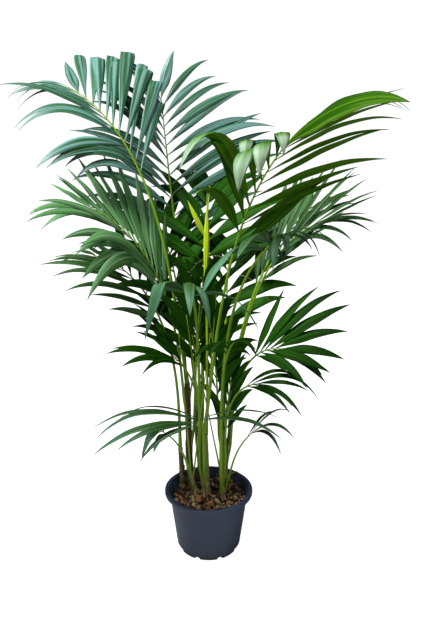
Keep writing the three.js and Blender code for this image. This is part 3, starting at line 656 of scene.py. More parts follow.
def leaf_skin(sheet, colour, roughness, gloss, streak_and_sheen, painted_sheen):
    """A leaflet's skin: veins, pale streaks that are partly painted sheen, a painted sheen where it
    hangs, a rib and a drying tip.
    """
    along = sheet.split(sheet.uv())["Y"]
    tint = sheet.attribute("tint")
    tree = shared_group(
        "leaf_veins", fill_leaf_veins, {"Veins": "Float", "Shift": "Float"},
        ("Height", "Midrib", "Lines", "Streaks"))
    veins = sheet.group(tree, {"Veins": LEAF_VEINS, "Shift": tint})
    patch, grain = sheet.mottle(22.0, 420.0)
    shade = sheet.ramp(
        tint, (0.0, scaled(colour, 0.5)), (0.5, scaled(colour, 0.95)),
        (1.0, warmed(scaled(colour, 1.45), 0.05)))
    patchy = sheet.blend(patch, shade, scaled(colour, 0.6), 0.5)
    # Pale streaks: partly real streaking, partly painted sheen.
    streaked_and_sheened = sheet.blend(veins["Streaks"], patchy, streak_and_sheen, 0.75)
    # Painted sheen: where a leaflet hangs, its colour turns towards a pale sheen colour, by a share
    # that the streaks vary.
    sheen_share = sheet.plus(0.5, sheet.times(veins["Streaks"], 0.4))
    sheened = sheet.blend(sheet.attribute("hang"), streaked_and_sheened, painted_sheen, sheen_share)
    lined = sheet.blend(veins["Lines"], sheened, scaled(colour, 1.5), 0.22)
    pale = warmed(scaled(colour, 2.2), 0.5)
    ribbed = sheet.blend(veins["Midrib"], lined, pale, 0.6)
    rooted = sheet.blend(sheet.fade(along, 9.0), ribbed, pale, 0.55)
    tip = sheet.times(sheet.minus(along, TIP_START), 28.0, clamp=True)
    skin = sheet.blend(tip, rooted, DRY_TIP, 0.8)
    rough = sheet.plus(roughness, sheet.times(grain, 0.14))
    shader = sheet.surface(skin, rough, veins["Height"], bump=0.3, distance=0.0006)
    shader.inputs["Specular IOR Level"].default_value = gloss


# Each finish's roughness, gloss, what its pale streaks make of its colour, channel by channel
# (partly real streaking, partly painted sheen), and the colour of the painted sheen that shows
# where a leaflet hangs.  Its own colour is the setting of the same name.
FINISHES = {
    "deep": (0.38, 0.22, (5.0, 2.9, 8.0), (0.12, 0.28, 0.17)),
    "fan": (0.36, 0.28, (3.0, 1.9, 3.2), (0.13, 0.27, 0.15)),
    # The blue-green finish: painted sky reflection.
    "teal": (0.32, 0.45, (8.0, 3.8, 8.6), (0.26, 0.43, 0.44)),
    # The backlit finish: fresh green with painted light shining through.
    "bright": (0.42, 0.05, (4.5, 2.0, 14.0), (0.50, 0.62, 0.48)),
    # The shade finish: painted shade.
    "shade": (0.50, 0.08, (2.4, 2.2, 2.0), (0.012, 0.080, 0.006)),
}


def leaf_materials(settings):
    """Upper side and underside of each finish, in pairs."""
    made = {}
    for name, (rough, gloss, streak_and_sheen_shares, painted_sheen) in FINISHES.items():
        colour = getattr(settings, name)
        streak_and_sheen = tuple(channel * share for channel, share in zip(colour, streak_and_sheen_shares))
        under = warmed(scaled(colour, 1.2), 0.04)
        made[name] = (
            skin_of(f"leaf_{name}", leaf_skin, colour, rough, gloss, streak_and_sheen, painted_sheen),
            skin_of(f"leaf_{name}_underside", leaf_skin, under, rough + 0.16, gloss, streak_and_sheen,
                    under))
    return made


def stalk_skin(sheet, colour):
    """Smooth stalk with fine lengthwise fibres, yellower at its foot and tip."""
    uv = sheet.uv()
    fibres = sheet.noise(uv, (30, 3, 1), 3.0)
    patch, grain = sheet.mottle(16.0, 300.0)
    along = sheet.ramp(
        sheet.split(uv)["Y"], (0.0, warmed(scaled(colour, 0.9), 0.4)),
        (0.25, colour), (0.75, scaled(colour, 0.75)), (1.0, warmed(colour, 0.5)))
    streaked = sheet.blend(fibres, along, scaled(colour, 0.55), 0.5)
    skin = sheet.blend(patch, streaked, warmed(scaled(colour, 1.5), 0.5), 0.35)
    rough = sheet.plus(0.34, sheet.times(grain, 0.2))
    sheet.surface(skin, rough, fibres, bump=0.15, distance=0.0005)


def spear_skin(sheet, colour):
    """Tender skin of a leaf still closed, its colour raised to paint in the light that shines through
    it (painted light): fine pleats, and darker towards its foot.
    """
    uv = sheet.uv()
    pleats = sheet.noise(uv, (26, 2, 1), 2.0)
    along = sheet.ramp(
        sheet.split(uv)["Y"], (0.0, scaled(colour, 0.5)), (0.45, scaled(colour, 0.85)),
        (0.8, colour), (1.0, towards(colour, (0.6, 0.7, 0.2), 0.4)))
    skin = sheet.blend(pleats, along, scaled(colour, 0.55), 0.4)
    sheet.surface(skin, 0.42, pleats, bump=0.4, distance=0.0008)


def bark_skin(sheet, colour, dryness):
    """A ringed stem under its sheaths: fibres up the stem, scars round it, a pale foot."""
    where = sheet.where()
    fibres = sheet.noise(where, (420, 420, 16), 4.0)
    patch, grain = sheet.mottle(46.0, 520.0)
    foot = sheet.fade(sheet.minus(sheet.split(where)["Z"], SOIL_TOP), 10.0)
    dried = towards(scaled(colour, 0.5), (0.10, 0.055, 0.025), dryness)
    fresh = sheet.blend(patch, scaled(colour, 1.25), dried, 0.7)
    streaked = sheet.blend(fibres, fresh, scaled(colour, 0.42), 0.3 + 0.5 * dryness)
    blotches = sheet.ramp(
        sheet.noise(where, (170, 170, 60), 3.0), (0.40, (0.07, 0.045, 0.018)),
        (0.50, (0.24, 0.20, 0.07)), (0.62, (0.62, 0.48, 0.33)))
    footed = sheet.blend(foot, streaked, blotches, 0.8)
    skin = sheet.blend(sheet.attribute("scar"), footed, (0.24, 0.19, 0.10), 0.7)
    rough = sheet.plus(0.42 + 0.25 * dryness, sheet.times(grain, 0.2))
    relief = sheet.plus(fibres, sheet.times(grain, 0.5))
    sheet.surface(skin, rough, relief, bump=0.25 + 0.45 * dryness, distance=0.0012)


def chip_skin(sheet, colour):
    """Broken bark: fibrous, with dark pits."""
    patch, grain = sheet.mottle(150.0, 900.0)
    fibres = sheet.noise(sheet.where(), (900, 260, 400), 4.0)
    worn = sheet.blend(patch, scaled(colour, 1.35), scaled(colour, 0.6))
    skin = sheet.blend(fibres, worn, scaled(colour, 0.28), 0.55)
    sheet.surface(skin, 0.85, sheet.plus(fibres, grain), bump=0.6, distance=0.0012)


def pot_skin(sheet, colour):
    """Moulded plastic: satin, with a fine grain, soft scuffs and dust towards the foot."""
    where = sheet.where()
    patch, grain = sheet.mottle(14.0, 700.0)
    scuffs = sheet.minus(sheet.noise(where, (6, 6, 160), 5.0), 0.55, clamp=True)
    low = sheet.fade(sheet.split(where)["Z"], 9.0)
    worn = sheet.blend(patch, colour, scaled(colour, 0.78), 0.5)
    dusty = sheet.blend(low, worn, (0.20, 0.18, 0.15), 0.12)
    skin = sheet.blend(scuffs, dusty, scaled(colour, 2.4), 0.5)
    rough = sheet.plus(0.36, sheet.times(patch, 0.16))
    sheet.surface(skin, rough, grain, bump=0.06, distance=0.0004)


# ------------------------------------------------------------------ the pot

class KENTIA_OT_pot(bpy.types.Operator):
    """Spins the pot's wall, lip and floor, and raises the drainage notches of its foot"""

    bl_idname = "kentia.pot"
    bl_label = "Pot"

    def execute(self, context):
        settings = context.scene.kentia_pot
        bm = bmesh.new()
        points = [bm.verts.new((radius, 0, z)) for radius, z in pot_profile(settings.wall)]
        edges = [bm.edges.new(pair) for pair in zip(points, points[1:])]
        bmesh.ops.spin(
            bm, geom=points + edges, cent=(0, 0, 0), axis=(0, 0, 1), angle=tau,
            steps=settings.steps, use_merge=True)
        bmesh.ops.remove_doubles(bm, verts=bm.verts, dist=1e-6)
        raise_notches(bm, settings)
        for face in bm.faces:
            face.smooth = True
        plastic = skin_of("pot_plastic", pot_skin, settings.colour)
        piece = finish_piece("nursery_pot", bm, [plastic], ["pot"])
        crisp = piece.modifiers.new("edges", "EDGE_SPLIT")
        crisp.split_angle = radians(50)
        return {"FINISHED"}


def arc(cx, cz, radius, start, end, steps):
    """Points on a round stretch of an outline, by angle in degrees."""
    for k in range(steps + 1):
        angle = radians(mix(start, end, k / steps))
        yield cx + radius * cos(angle), cz + radius * sin(angle)


POT_LIP_HEIGHT = 0.012
POT_LIP_ROUND = 0.003
POT_LIP_WIDTH = 0.011
POT_NECK = 0.1065
POT_BASE = 0.087
POT_FOOT = 0.080
POT_FOOT_HEIGHT = 0.011
POT_SLOPE = 0.004
POT_FLOOR = 0.004
POT_EDGE = 0.001  # radius of the foot's edge and of the corner under the lip
POT_STEP = 0.002  # radius of the two bends between the foot and the wall
NOTCH_REACH = 0.012  # how far a notch runs in under the foot
NOTCH_SKIN = 0.0015  # the foot's outside, which a notch cuts through
NOTCH_UNDER = 0.0025  # height under which its underside is lifted too
HAIR = 1e-4


def pot_profile(wall):
    """The wall's outline from the middle of the underside round to the middle of the floor."""
    rim, top = POT_BOX[1].x, POT_BOX[1].z
    lip_foot = top - POT_LIP_HEIGHT
    slope_top = POT_FOOT_HEIGHT + POT_SLOPE
    bend = POT_LIP_ROUND
    yield 0, 0
    yield POT_FOOT - 2 * NOTCH_REACH, 0
    yield POT_FOOT - NOTCH_REACH, 0
    yield POT_FOOT - NOTCH_REACH / 2, 0
    yield from arc(POT_FOOT - POT_EDGE, POT_EDGE, POT_EDGE, -90, 0, 3)
    for k in range(1, 5):
        yield POT_FOOT, mix(POT_EDGE, POT_FOOT_HEIGHT, k / 5)
    yield from arc(POT_FOOT + POT_STEP, POT_FOOT_HEIGHT, POT_STEP, 180, 120, 3)
    yield from arc(POT_BASE - POT_STEP, slope_top + POT_EDGE, POT_STEP, -50, 0, 3)
    for k in range(1, 12):
        share = k / 12
        yield mix(POT_BASE, POT_NECK, share), mix(slope_top + POT_EDGE, lip_foot - POT_EDGE, share)
    yield from arc(POT_NECK + POT_EDGE, lip_foot - POT_EDGE, POT_EDGE, 180, 90, 3)
    yield from arc(rim - bend, lip_foot + bend, bend, -90, 0, 6)
    yield from arc(rim - bend, top - bend, bend, 0, 90, 6)
    yield from arc(rim - POT_LIP_WIDTH + bend / 2, top - bend / 2, bend / 2, 90, 180, 5)
    inner = POT_NECK - wall
    yield inner + 0.0015, lip_foot
    yield inner, lip_foot - 0.004
    for k in range(1, 8):
        share = 1 - k / 8
        yield mix(POT_BASE, POT_NECK, share) - wall, mix(slope_top, lip_foot, share)
    yield POT_FOOT - wall, POT_FOOT_HEIGHT
    yield POT_FOOT - wall, POT_FLOOR
    yield 0, POT_FLOOR


def raise_notches(bm, settings):
    """Lifts the foot's edge into round-topped drainage notches."""
    half = settings.notch_width / 2
    for vert in bm.verts:
        radius = vert.co.xy.length
        if vert.co.z > POT_FOOT_HEIGHT or radius < POT_FOOT - NOTCH_REACH - HAIR:
            continue
        inside = radius < POT_FOOT - NOTCH_SKIN
        if radius > POT_FOOT + HAIR or vert.co.z > NOTCH_UNDER and inside:
            continue
        turn = vert.co.xy.angle_signed(Vector((0, 1))) / tau * settings.notches
        away = abs((turn % 1) - 0.5) / settings.notches * tau * POT_FOOT
        if away < half:
            rise = settings.notch_height * sqrt(1 - (away / half) ** 2)
            vert.co.z += rise * (1 - smooth(vert.co.z / POT_FOOT_HEIGHT))


# ------------------------------------------------------------------ the compost

class KENTIA_OT_compost(bpy.types.Operator):
    """Heaps bark chips on a rough bed inside the pot"""

    bl_idname = "kentia.compost"
    bl_label = "Bark Compost"

    def execute(self, context):
        settings = context.scene.kentia_compost
        materials = [
            skin_of(f"bark_{name}", chip_skin, getattr(settings, name))
            for name in ("dark", "brown", "orange", "tan")]
        bed = bmesh.new()
        lay_bed(bed)
        finish_piece("compost_bed", bed, [materials[0]])
        chips = bmesh.new()
        heap_chips(chips, settings)
        finish_piece("bark_chips", chips, materials, ["soil"])
        return {"FINISHED"}


BED_ROOM = 0.003  # how far the bed under the chips keeps inside the soil's edge
BED_SINK = 0.008  # how far it lies under the soil's top
BED_DEPTH = 0.016  # how far its skirt reaches down
BED_ROUGH = 0.004
CHIP_ROOM = 0.002  # how far the chips keep inside the soil's edge
CHIP_REACH = 0.004  # how far inside that edge the outermost chip's middle lies
CHIP_SINK = 0.004
CHIP_FLATTEST = 0.18  # a chip's height, as a share of its length
CHIP_THICKEST = 0.42
TILT = 0.7  # how far a chip tips over at most, in radians
HEAP = 0.013  # how much higher the compost lies at the back of the pot
CHIP_SHARES = (0.30, 0.62, 0.86)  # of dark, brown and orange chips; the rest are tan
GOLDEN = pi * (3 - sqrt(5))


def heap_at(back):
    """How much higher the compost lies at a distance behind the pot's middle."""
    return HEAP * smooth((back + 0.02) / 0.11)


def lay_bed(bm):
    """A rough dark sheet with a skirt, under the chips."""
    bmesh.ops.create_circle(bm, cap_ends=True, segments=96, radius=SOIL_BOX[1].x - BED_ROOM)
    bmesh.ops.subdivide_edges(bm, edges=bm.edges, cuts=1, use_grid_fill=True)
    bmesh.ops.triangulate(bm, faces=bm.faces)
    for _ in range(3):
        bmesh.ops.subdivide_edges(
            bm, edges=[edge for edge in bm.edges if not edge.is_boundary], cuts=1)
    for vert in bm.verts:
        rough = noise.noise(vert.co * 70) + 0.5 * noise.noise(vert.co * 190)
        vert.co.z = SOIL_TOP - BED_SINK + BED_ROUGH * rough + heap_at(vert.co.y)
    rim = [edge for edge in bm.edges if edge.is_boundary]
    for item in bmesh.ops.extrude_edge_only(bm, edges=rim)["geom"]:
        if isinstance(item, bmesh.types.BMVert):
            item.co.z = SOIL_TOP - BED_DEPTH


def heap_chips(bm, settings):
    """Flattened, broken chips laid out as seeds on a sunflower, each turned its own way, and more
    often of the darker kinds towards the back, as painted shade.
    """
    chance = Chances(7)
    reach = SOIL_BOX[1].x - CHIP_REACH
    for k in range(settings.chips):
        radius = reach * sqrt((k + 0.5) / settings.chips)
        angle = k * GOLDEN + chance.draw(-0.3, 0.3)
        size = settings.chip_size * mix(0.22, 0.62, chance.draw(0, 1) ** 2)
        shape = (size, size * chance.draw(0.4, 0.75), size * chance.draw(CHIP_FLATTEST, CHIP_THICKEST))
        turn = Euler((chance.draw(-TILT, TILT), chance.draw(-TILT, TILT), chance.draw(-pi, pi)))
        made = bmesh.ops.create_icosphere(bm, subdivisions=1, radius=1)
        height = SOIL_TOP + chance.draw(-0.003, 0.004) - CHIP_SINK * (1 + smooth(radius / reach))
        back = radius * sin(angle)
        spot = Vector((radius * cos(angle), back, height + heap_at(back)))
        place = Matrix.Translation(spot) @ turn.to_matrix().to_4x4() @ Matrix.Diagonal((*shape, 1))
        for vert in made["verts"]:
            vert.co *= chance.draw(0.6, 1.2)
            vert.co = place @ vert.co
            vert.co.xy *= min(1.0, (SOIL_BOX[1].x - CHIP_ROOM) / vert.co.xy.length)
        # Painted shade: towards the back of the pot the chips are more often of the darker kinds.
        pick = chance.draw(0, 1) - 0.3 * smooth((back + 0.02) / 0.08)
        kind = sum(pick > share for share in CHIP_SHARES)
        for face in {face for vert in made["verts"] for face in vert.link_faces}:
            face.material_index = kind


# ------------------------------------------------------------------ the stems

def stem_at(stem, z):
    """The middle and the radius of a stem at a height."""
    share = (z - SOIL_TOP) / (stem.top[2] - SOIL_TOP)
    middle = Vector((mix(stem.foot[0], stem.top[0], share), mix(stem.foot[1], stem.top[1], share), z))
    return middle, mix(stem.foot_radius, stem.top_radius, share)


class KENTIA_OT_stems(bpy.types.Operator):
    """Grows the ringed stems with their root flare and the torn sheaths on the dry ones"""

    bl_idname = "kentia.stems"
    bl_label = "Stems"

    def execute(self, context):
        settings = context.scene.kentia_stems
        barks = {
            name: skin_of(f"bark_{name}_stem", bark_skin, getattr(settings, name), dryness)
            for name, dryness in DRYNESS.items()}
        for number, (name, stem) in enumerate(STEMS.items()):
            bm = bmesh.new()
            grow_stem(bm, stem, settings, number)
            if stem.bark != "green":
                wrap_sheaths(bm, stem, number)
            finish_piece(
                f"trunk_{name}", bm, [barks[stem.bark]], [f"stem_{name}"])
        return {"FINISHED"}


DRYNESS = {"brown": 1.0, "olive": 0.5, "green": 0.0, "pink": 0.8}
STEM_SIDES = 20
STEM_ROW = 0.0028  # height of a row of faces
SINK = 0.012  # how deep a stem's foot stands in the compost


def grow_stem(bm, stem, settings, number):
    """A ringed, slightly uneven tube that flares over its roots."""
    foot = SOIL_TOP - SINK
    height = stem.top[2] - foot
    rows = int(height / STEM_ROW)

    def scar_at(z):
        """How far along the stretch between two scars a height lies."""
        return ((z - SOIL_TOP) / stem.scars + 0.37 * number) % 1

    def place(u, v):
        z = foot + v * height
        middle, radius = stem_at(stem, z)
        above = max(z - SOIL_TOP, 0)
        flare = 1 + settings.flare * (1 - smooth(above / settings.flare_height))
        step = scar_at(z)
        ledge = settings.scar_ledge * (1 - step) ** 3
        angle = u * tau
        way = level_way(angle)
        bumps = noise.noise(Vector((way.x * 1.4, way.y * 1.4, z * 26 + number * 9)))
        roots = 0.12 * (1 - smooth(above / 0.02)) * sin(angle * 5 + number)
        return middle + way * (radius * (flare + 0.035 * bumps + roots) + ledge)

    scar = bm.verts.layers.float.new("scar")
    verts = bend_tube(bm, STEM_SIDES, rows, place)
    for vert in verts:
        step = scar_at(vert.co.z)
        vert[scar] = max(0.0, 1 - min(step, 1 - step) * 9)


def wrap_sheaths(bm, stem, number):
    """Dry, split sheaths that still clasp the stem and lift away at their torn tops."""
    chance = Chances(50 + number)
    z = SOIL_TOP + 0.03
    while z < stem.top[2] - 0.05:
        height = chance.draw(0.035, 0.07)
        start = chance.draw(0, tau)
        span = chance.draw(2.2, 4.2)
        torn = chance.draw(0.2, 0.6)
        seed = chance.draw(0, 50)

        def place(u, v, z=z, height=height, start=start, span=span, torn=torn, seed=seed):
            ragged = 0.25 * noise.noise(Vector((u * 4, seed, 0)))
            at = z + height * v * (1 - torn * abs(u - 0.5) + ragged)
            middle, radius = stem_at(stem, min(at, stem.top[2]))
            angle = start + span * (u - 0.5) * (1 - 0.35 * v)
            lift = 0.0007 + 0.0022 * v * v * (0.6 + noise.noise(Vector((u * 3, seed, v * 2))))
            return middle + level_way(angle) * (radius + lift)

        bend_grid(bm, 10, 6, place)
        z += height * chance.draw(0.9, 1.8)


# ------------------------------------------------------------------ the fronds' rule

def start_of(frond):
    """Where a stalk leaves its stem: on the top of it, or against its side."""
    stem = STEMS[frond.stem]
    if frond.foot is None:
        return Vector(stem.top) + Vector((0, 0, GAP))
    middle, radius = stem_at(stem, frond.foot)
    reach = radius + STALK_FOOT + FOOT_ROOM + GAP
    return middle + level_way(radians(frond.side)) * reach


def rib_frame(frond, s):
    """The midrib's direction, its left-hand side and its upper side."""
    slant = radians(frond.rise + (frond.arch - frond.rise) * s ** frond.curl)
    heading = radians(frond.heading)
    along = slanting_way(heading, slant)
    left = left_of(heading)
    left.rotate(Matrix.Rotation(-radians(frond.roll) * smooth(s), 3, along))
    return along, left, along.cross(left)


class Midrib:
    """The curve of a frond's stalk and midrib, by its share s of the length."""

    def __init__(self, frond):
        self.frond = frond
        self.points = [start_of(frond)]
        step = frond.length / RIB_STEPS
        for k in range(RIB_STEPS):
            along = rib_frame(frond, (k + 0.5) / RIB_STEPS)[0]
            self.points.append(self.points[-1] + along * step)

    def at(self, s):
        place = s * RIB_STEPS
        k = min(int(floor(place)), RIB_STEPS - 1)
        point = self.points[k].lerp(self.points[k + 1], place - k)
        return point, *rib_frame(self.frond, s)


STALK_RADII = (5.5 * MM, 3.4 * MM, 1.1 * MM)  # at its foot, under the blade, and at the tip


def rib_radius(frond, s):
    """How thick a stalk or midrib is, at a share of its length."""
    scale = min(1.0, 0.62 + 0.5 * frond.length)
    foot, blade, tip = (radius * scale for radius in STALK_RADII)
    if s < frond.blade:
        return mix(foot, blade, s / frond.blade)
    return mix(blade, tip, (s - frond.blade) / (1 - frond.blade))


def leaf_length(t):
    """Share of the longest leaflet's length at t along a blade."""
    return 0.78 + 0.22 * smooth(t / 0.35) if t < 0.35 else 1 - 0.56 * smooth((t - 0.35) / 0.75)


def leaf_width(t):
    """Share of the widest leaflet's width at t along a blade."""
    return 0.75 + 0.25 * smooth(t / 0.3) if t < 0.3 else 1 - 0.38 * smooth((t - 0.3) / 0.8)


def outline(v, peak=FORM_PEAK, taper=FORM_TAPER):
    """A leaflet's own outline: a narrow root, long sides and a long fine tip."""
    grow = 0.14 + 0.86 * smooth(v / (0.9 * peak))
    fade = 1 - (max(v - peak, 0) / (1 - peak)) ** taper
    return grow * fade


@dataclass
class Leaflet:
    """What shapes one leaflet before it is bent."""

    point: Vector
    along: Vector
    left: Vector
    up: Vector
    side: int
    open: float
    length: float
    width: float
    lift: float
    droop: float
    fold: float
    peak: float
    taper: float
    twist: float
    tint: float


def plan_leaflet(frond, rib, side, t, chance):
    """The leaflet at t along the blade, on the side +1 (left) or -1."""
    turn, stretch, broaden, raised, limp = (chance.draw() for _ in range(5))
    habit = frond.left if side > 0 else frond.right
    banded = habit.band[0] <= t <= habit.band[1]
    first, last = habit.folded
    folds = habit.fold > 0 and first <= t <= last
    opened = mix(*frond.open, t) * mix(*habit.spread, t)
    length = frond.leaf * leaf_length(t) * mix(*habit.size, t) * (1 + 0.08 * stretch)
    width = frond.wide * leaf_width(t) * mix(*habit.broad, t) * (1 + 0.12 * broaden)
    lift = habit.lift * (1 - 0.75 * t)
    droop = habit.droop * mix(*habit.sag, t) * (1 + 0.45 * limp)
    if folds:
        length *= mix(*habit.short, (t - first) / (last - first))
    if banded:
        opened *= habit.open
        length *= habit.long
        width *= habit.wide
        lift += habit.steep
        droop *= habit.slack
    point, along, left, up = rib.at(frond.blade + (BLADE_END - frond.blade) * t ** 0.92)
    return Leaflet(
        point, along, left, up, side,
        open=opened + 5 * turn,
        length=length,
        width=width,
        lift=lift + 5 * raised,
        droop=droop,
        fold=habit.fold + 0.06 * stretch if folds else 0.0,
        peak=habit.fold + 0.04 if folds else FORM_PEAK,
        taper=FOLDED_TAPER if folds else FORM_TAPER,
        twist=frond.twist,
        tint=(0.5 + 0.28 * broaden + 0.2 * turn) * (0.3 if banded else 1))


def leaf_sections(plan, swing, share, steps=LEAF_STEPS):
    """A leaflet's sections: it sets out from the midrib, sags, and may fold over."""
    opened, lift = radians(plan.open + swing), radians(plan.lift)
    out = plan.left * (plan.side * cos(lift)) + plan.up * sin(lift)
    first = (plan.along * cos(opened) + out * sin(opened)).normalized()
    flat = (plan.along - first * plan.along.dot(first)).normalized()
    length = plan.length * share

    def aim(v):
        folded = FOLD_PULL * smooth((v - plan.fold) / FOLD_SPAN) if plan.fold > 0 else 0.0
        return (first + DOWN * (plan.droop * v ** 1.6 + folded)).normalized()

    sections = []
    point, facing = plan.point.copy(), plan.up
    for k in range(steps + 1):
        v = k / steps
        along = aim(v)
        across = (flat - along * flat.dot(along)).normalized()
        level = along.cross(DOWN)
        if level.length > NEAR_NOTHING:
            level.normalize()
            if level.dot(across) < 0:
                level.negate()
            across = across.lerp(level, plan.twist * v)
            across = (across - along * across.dot(along)).normalized()
        up = across.cross(along)
        if up.dot(facing) < 0:
            up.negate()
            across.negate()
        facing = up
        sections.append((point.copy(), across, up, plan.width * outline(v, plan.peak, plan.taper)))
        point += aim((k + 0.5) / steps) * (length / steps)
    return sections


# ------------------------------------------------------------------ stalks

class KENTIA_OT_stalks(bpy.types.Operator):
    """Grows the fronds' stalks and midribs from the stems"""

    bl_idname = "kentia.stalks"
    bl_label = "Frond Stalks"

    def execute(self, context):
        skin = skin_of("leaf_stalk", stalk_skin, context.scene.kentia_fronds.stalk_colour)
        for name, frond in FRONDS.items():
            bm = bmesh.new()
            grow_stalk(bm, frond)
            finish_piece(f"stalk_{name}", bm, [skin], [f"petiole_{name}"])
        return {"FINISHED"}


STALK_SIDES = 10
STALK_ROW = 0.010
TOP_CLASP = 0.004  # how far a stalk that ends a stem reaches down into it
FOOT_THINNER = 0.35  # how much thinner a side stalk's foot is
GROOVE = 0.28  # depth of the channel on its upper side, as a share of its radius
SHEATH = 0.055  # the stretch over which a stalk's foot spreads round its stem
CLASP = 0.040  # how far a side stalk's foot runs down its stem


def grow_stalk(bm, frond):
    """A channelled stalk: its foot clasps the stem and its tip is the end of the midrib."""
    rib = Midrib(frond)
    stem = STEMS[frond.stem]
    on_top = frond.foot is None
    below = TOP_CLASP if on_top else CLASP
    total = frond.length + below
    rows = int(total / STALK_ROW)

    def section(distance):
        """Middle, left, up and radius at a distance from the stalk's foot."""
        if distance >= below:
            s = (distance - below) / frond.length
            point, _, left, up = rib.at(s)
            radius = rib_radius(frond, s)
        else:
            point, along, left, up = rib.at(0)
            radius = rib_radius(frond, 0)
            point = point - along * (below - distance)
        if on_top:
            near = 1 - smooth((distance - below) / SHEATH)
            radius = mix(radius, stem.top_radius, near)
        else:
            near = 1 - smooth(distance / (CLASP + SHEATH))
            middle, thick = stem_at(stem, point.z)
            point = point.lerp(middle + (point - middle).normalized() * thick * 0.8, near)
            radius = radius * (1 - FOOT_THINNER * near)
        return point, left, up, radius

    def place(u, v):
        point, left, up, radius = section(v * total)
        angle = u * tau
        groove = 1 - GROOVE * max(sin(angle), 0) ** 4
        return point + (left * cos(angle) + up * sin(angle) * 0.92) * radius * groove

    bend_tube(bm, STALK_SIDES, rows, place)


# ------------------------------------------------------------------ leaflets

class KENTIA_OT_leaflets(bpy.types.Operator):
    """Grows each frond's leaflets, clear of the stems and of the other fronds' stalks"""

    bl_idname = "kentia.leaflets"
    bl_label = "Leaflets"

    def execute(self, context):
        settings = context.scene.kentia_fronds
        materials = leaf_materials(settings)
        limbs = limb_trees()
        if not limbs:
            raise RuntimeError("the stems and stalks are made before the leaflets")
        for name, frond in FRONDS.items():
            others = [tree for limb, tree in limbs.items() if limb != f"stalk_{name}"]
            bm = bmesh.new()
            grow_blade(bm, frond, settings, others)
            piece = finish_piece(
                f"leaflets_{name}", bm, materials[frond.finish], [f"frond_{name}"],
                outward=False)
            skin = piece.modifiers.new("thickness", "SOLIDIFY")
            skin.thickness = settings.thickness
            skin.offset = 0
            skin.use_even_offset = False
            skin.material_offset = 1
        return {"FINISHED"}


def limb_trees():
    """A search tree for each stem and stalk."""
    trees = {}
    for piece in bpy.data.objects:
        if piece.name.startswith(("trunk_", "stalk_")):
            bm = bmesh.new()
            bm.from_mesh(piece.data)
            trees[piece.name] = BVHTree.FromBMesh(bm)
            bm.free()
    return trees


def strip_tree(sections):
    """A search tree for a leaflet's flat strip."""
    points, faces = [], []
    for point, across, _, width in sections:
        points += [point - across * width / 2, point + across * width / 2]
    for k in range(len(sections) - 1):
        faces.append((2 * k, 2 * k + 1, 2 * k + 3, 2 * k + 2))
    return BVHTree.FromPolygons(points, faces)


def grow_blade(bm, frond, settings, others):
    """Adds the leaflets that find a way past the other limbs; one that finds none is left out."""
    rib = Midrib(frond)
    chance = Chances(frond.seed)
    bm.verts.layers.float.new("tint")
    bm.verts.layers.float.new("hang")
    for pair in range(frond.pairs):
        for side in (1, -1):
            t = (pair + (0.25 if side > 0 else 0.6)) / frond.pairs
            plan = plan_leaflet(frond, rib, side, t, chance)
            if pair in (frond.left if side > 0 else frond.right).gone:
                continue
            for swing, share in TRIES:
                sections = leaf_sections(plan, swing, share)
                strip = strip_tree(sections)
                if not any(strip.overlap(tree) for tree in others):
                    unfold_leaflet(bm, plan, sections, settings.pleat)
                    break


ROOT_PLEAT = radians(30)  # what a leaflet's pleat has more at its root
FLATTER = 0.55  # share of its pleat that is gone by its middle
RIPPLE = 0.05  # how far its edges wave, as a share of its half width


def unfold_leaflet(bm, plan, sections, pleat):
    """Bends a grid along the sections: pleated at its root, flatter towards its tip."""
    tint, hang = (bm.verts.layers.float[name] for name in ("tint", "hang"))
    steps = len(sections) - 1
    slopes = [up.cross(across).z for _, across, up, _ in sections]

    def place(u, v):
        point, across, up, width = sections[round(v * steps)]
        out = 2 * u - 1
        angle = pleat * (1 - FLATTER * smooth(v / 0.5)) + ROOT_PLEAT * (1 - smooth(v / 0.12))
        half = max(width, THINNEST) / 2
        ripple = RIPPLE * half * sin(v * 19 + plan.tint * 40) * out * out
        sink = abs(out) * half * sin(angle) - ripple
        return point + across * (out * half * cos(angle)) - up * sink + up * half * sin(angle) / 2

    verts, faces = bend_grid(bm, LEAF_ACROSS, steps, place)
    for face in faces:
        face.normal_update()
    middle_up = sections[steps // 3][2]
    upward = sum(face.calc_area() * face.normal.dot(middle_up) for face in faces)
    if upward < 0:
        bmesh.ops.reverse_faces(bm, faces=faces)
    for number, vert in enumerate(verts):
        vert[tint] = plan.tint
        # hang marks where the leaflet points down; its material paints a pale sheen there (painted
        # sheen).
        vert[hang] = smooth(-1.2 * slopes[number // (LEAF_ACROSS + 1)])


# ------------------------------------------------------------------ the closed leaf

